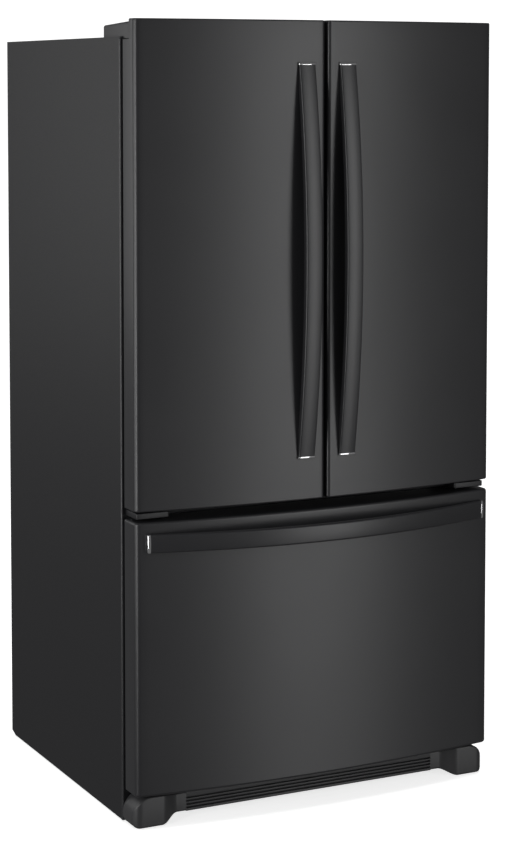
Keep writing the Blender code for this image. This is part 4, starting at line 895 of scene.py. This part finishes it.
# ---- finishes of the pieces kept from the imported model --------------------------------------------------
FINISHES = {
    "cabinet_shell": SIDE_ENAMEL,
    "centre_rail": SIDE_ENAMEL,
    "fresh_food_liner": LINER_HIPS,
    "freezer_liner": LINER_HIPS,
    "left_door_liner": LINER_HIPS,
    "right_door_liner": LINER_HIPS,
    "drawer_liner": LINER_HIPS,
    "insulation_foam": FOAM,
    "back_panel": GALVANISED,
    "base_frame": ZINC_PLATE,
    "compressor": POT_ENAMEL,
    "condenser_coil": CONDENSER_BLACK,
    "condenser_fan": BLACK_ABS,
    "rear_cover": HARDBOARD,
    "cord_inlet": SEAL_PVC,
    "top_hinge_left": ZINC_PLATE,
    "top_hinge_right": ZINC_PLATE,
    "air_duct": WHITE_ABS,
    "control_panel": WHITE_ABS,
    "evaporator_cover": WHITE_ABS,
    "lower_basket": WHITE_ABS,
    "upper_basket": WHITE_ABS,
    "crisper_left": CLEAR_SAN,
    "crisper_right": CLEAR_SAN,
    "shelf_upper_left": SHELF_GLASS,
    "shelf_upper_right": SHELF_GLASS,
    "shelf_lower": SHELF_GLASS,
    "crisper_shelf": SHELF_GLASS,
    "mullion_flap": BLACK_ABS,
    "drawer_frame": ZINC_PLATE,
    "slide_rail_left": ZINC_PLATE,
    "slide_rail_right": ZINC_PLATE,
    "slide_middle_left": ZINC_PLATE,
    "slide_middle_right": ZINC_PLATE,
    "levelling_foot_left": ZINC_PLATE,
    "levelling_foot_right": ZINC_PLATE,
    "rear_roller_left": NYLON,
    "rear_roller_right": NYLON,
}
for name in ("left", "right"):
    for level in ("lower", "middle", "upper"):
        FINISHES["%s_door_bin_%s" % (name, level)] = CLEAR_SAN
for node, material in FINISHES.items():
    mesh = NODES[node].data
    mesh.materials.clear()
    mesh.materials.append(material)

# ---- studio ---------------------------------------------------------------------------------------------
CAMERA_PLACE = (-2.2604, -4.2882 + FRONT, 1.6467)
CAMERA_YAW, CAMERA_PITCH = 26.408, 3.788     # degrees to the right of +y, and below the horizon
FOCAL, CENTRE_X, CENTRE_Y = 2129.8, 252.147, 222.0
FRAME_WIDTH, FRAME_HEIGHT = 511, 843
KEY_ANGLE = math.radians(26)                # the key light stands this far round to the right of the front
KEY_DISTANCE, KEY_WIDTH = 6.0, 1.9
KEY_RADIANCE = 2.75
# The key's boxes: bottom, top and share of the key's radiance.
KEY_BOXES = ((1.1, 3.7, 1.0), (-0.6, 1.1, 0.94), (-1.3, -0.6, 0.78), (-2.9, -1.3, 0.52))
FILL_DISTANCE, FILL_LEVEL, FILL_RADIANCE = 6.6, 0.4, 0.10
FILL_WIDTH, FILL_HEIGHT = 7.0, 6.4
AIM_Y = FRONT - 0.1                         # the key and the fill face this depth
# The other softboxes: name, where each stands, what it faces, width, height and radiance.
SOFTBOXES = (
    ("left_strip", (-4.5, -2.2, 1.05), (-0.4, -0.3, 1.05), 0.9, 3.7, 7.0),
    ("side_fill", (-5.0, -0.2, 1.1), (-0.4, -0.3, 1.1), 2.4, 3.0, 2.6),
    ("rear_softbox", (-3.2, 3.0, 1.9), (-0.4, 0.1, 1.2), 2.0, 2.6, 1.35),
)
OVERHEAD, OVERHEAD_SPREAD = 1.5, math.radians(25)
ROOM_LEVEL, BACKDROP_LEVEL = 0.12, 1.15     # what reflections and fill see, and what the eye sees
FLOOR_WHITE, FLOOR_GLOW = 0.80, 0.75        # albedo, and the light that keeps the floor pale in the shade


def make_camera():
    """The camera at its place, with its picture shifted so that upright edges stay where they belong."""
    data = bpy.data.cameras.new("studio_camera")
    data.sensor_width = 36.0
    data.lens = FOCAL / FRAME_HEIGHT * data.sensor_width
    data.shift_x = (FRAME_WIDTH / 2 - CENTRE_X) / FRAME_HEIGHT
    data.shift_y = (CENTRE_Y - FRAME_HEIGHT / 2) / FRAME_HEIGHT
    camera = bpy.data.objects.new("studio_camera", data)
    camera.location = CAMERA_PLACE
    camera.rotation_euler = (math.radians(90 - CAMERA_PITCH), 0, math.radians(-CAMERA_YAW))
    bpy.context.scene.collection.objects.link(camera)
    bpy.context.scene.camera = camera


def make_floor():
    """A pale floor that only the eye sees: it casts no shadow and shows in no reflection."""
    mesh = bpy.data.meshes.new("studio_floor")
    reach = 40.0
    corners = [(-reach, -reach, 0), (reach, -reach, 0), (reach, reach, 0), (-reach, reach, 0)]
    mesh.from_pydata(corners, [], [(0, 1, 2, 3)])
    material, tree = new_material("white_studio_floor")
    surface = add(tree, "ShaderNodeBsdfPrincipled", {
        "Base Color": (FLOOR_WHITE, FLOOR_WHITE, FLOOR_WHITE, 1),
        "Roughness": 0.9,
        "Emission Color": (1, 1, 1, 1),
        "Emission Strength": FLOOR_GLOW,
    })
    add(tree, "ShaderNodeOutputMaterial", {"Surface": surface.outputs["BSDF"]})
    mesh.materials.append(material)
    floor = bpy.data.objects.new("studio_floor", mesh)
    floor.visible_diffuse = False
    floor.visible_glossy = False
    floor.visible_transmission = False
    floor.visible_shadow = False
    bpy.context.scene.collection.objects.link(floor)


def soft_light(name, place, target, width, height, radiance):
    """A flat softbox at place, facing target, as bright as radiance; the camera doesn't see it."""
    data = bpy.data.lights.new(name, "AREA")
    data.shape = "RECTANGLE"
    data.size, data.size_y = width, height
    data.energy = radiance * math.pi * width * height
    light = bpy.data.objects.new(name, data)
    light.location = place
    aim = np.array(target, float) - np.array(place, float)
    yaw = math.atan2(aim[1], aim[0])
    pitch = math.atan2(aim[2], math.hypot(aim[0], aim[1]))
    light.rotation_euler = (math.pi / 2 + pitch, 0, yaw - math.pi / 2)
    light.visible_camera = False
    bpy.context.scene.collection.objects.link(light)
    return light


def make_world():
    """White backdrop to the eye; a dimmer room in reflections and for fill."""
    world = bpy.data.worlds.new("studio_room")
    bpy.context.scene.world = world
    world.use_nodes = True
    tree = world.node_tree
    tree.nodes.clear()
    seen = add(tree, "ShaderNodeLightPath").outputs["Is Camera Ray"]
    level = add(tree, "ShaderNodeMapRange", {"Value": seen, "To Min": ROOM_LEVEL, "To Max": BACKDROP_LEVEL})
    shade = add(tree, "ShaderNodeBackground", {"Color": (1, 1, 1, 1), "Strength": level.outputs["Result"]})
    add(tree, "ShaderNodeOutputWorld", {"Surface": shade.outputs["Background"]})


def make_lights():
    """Key and wide fill to the front right, softboxes to the left and behind, and an overhead light.

    The key is four boxes above one another, a little dimmer downwards, so the fronts shade off to the floor.
    """
    aim = (math.sin(KEY_ANGLE), -math.cos(KEY_ANGLE))
    for low, high, share in KEY_BOXES:
        place = (aim[0] * KEY_DISTANCE, AIM_Y + aim[1] * KEY_DISTANCE, (low + high) / 2)
        soft_light("front_softbox", place, (0, AIM_Y, place[2]), KEY_WIDTH, high - low, share * KEY_RADIANCE)
    wide = (aim[0] * FILL_DISTANCE, AIM_Y + aim[1] * FILL_DISTANCE, FILL_LEVEL)
    soft_light("front_wide", wide, (0, AIM_Y, FILL_LEVEL), FILL_WIDTH, FILL_HEIGHT, FILL_RADIANCE)
    for softbox in SOFTBOXES:
        soft_light(*softbox)
    data = bpy.data.lights.new("overhead", "SUN")
    data.energy = OVERHEAD
    data.angle = OVERHEAD_SPREAD
    overhead = bpy.data.objects.new("overhead", data)
    overhead.location = (0, 0, 4)
    overhead.visible_glossy = False
    bpy.context.scene.collection.objects.link(overhead)


make_camera()
make_floor()
make_world()
make_lights()
bpy.context.scene.view_settings.view_transform = "Standard"
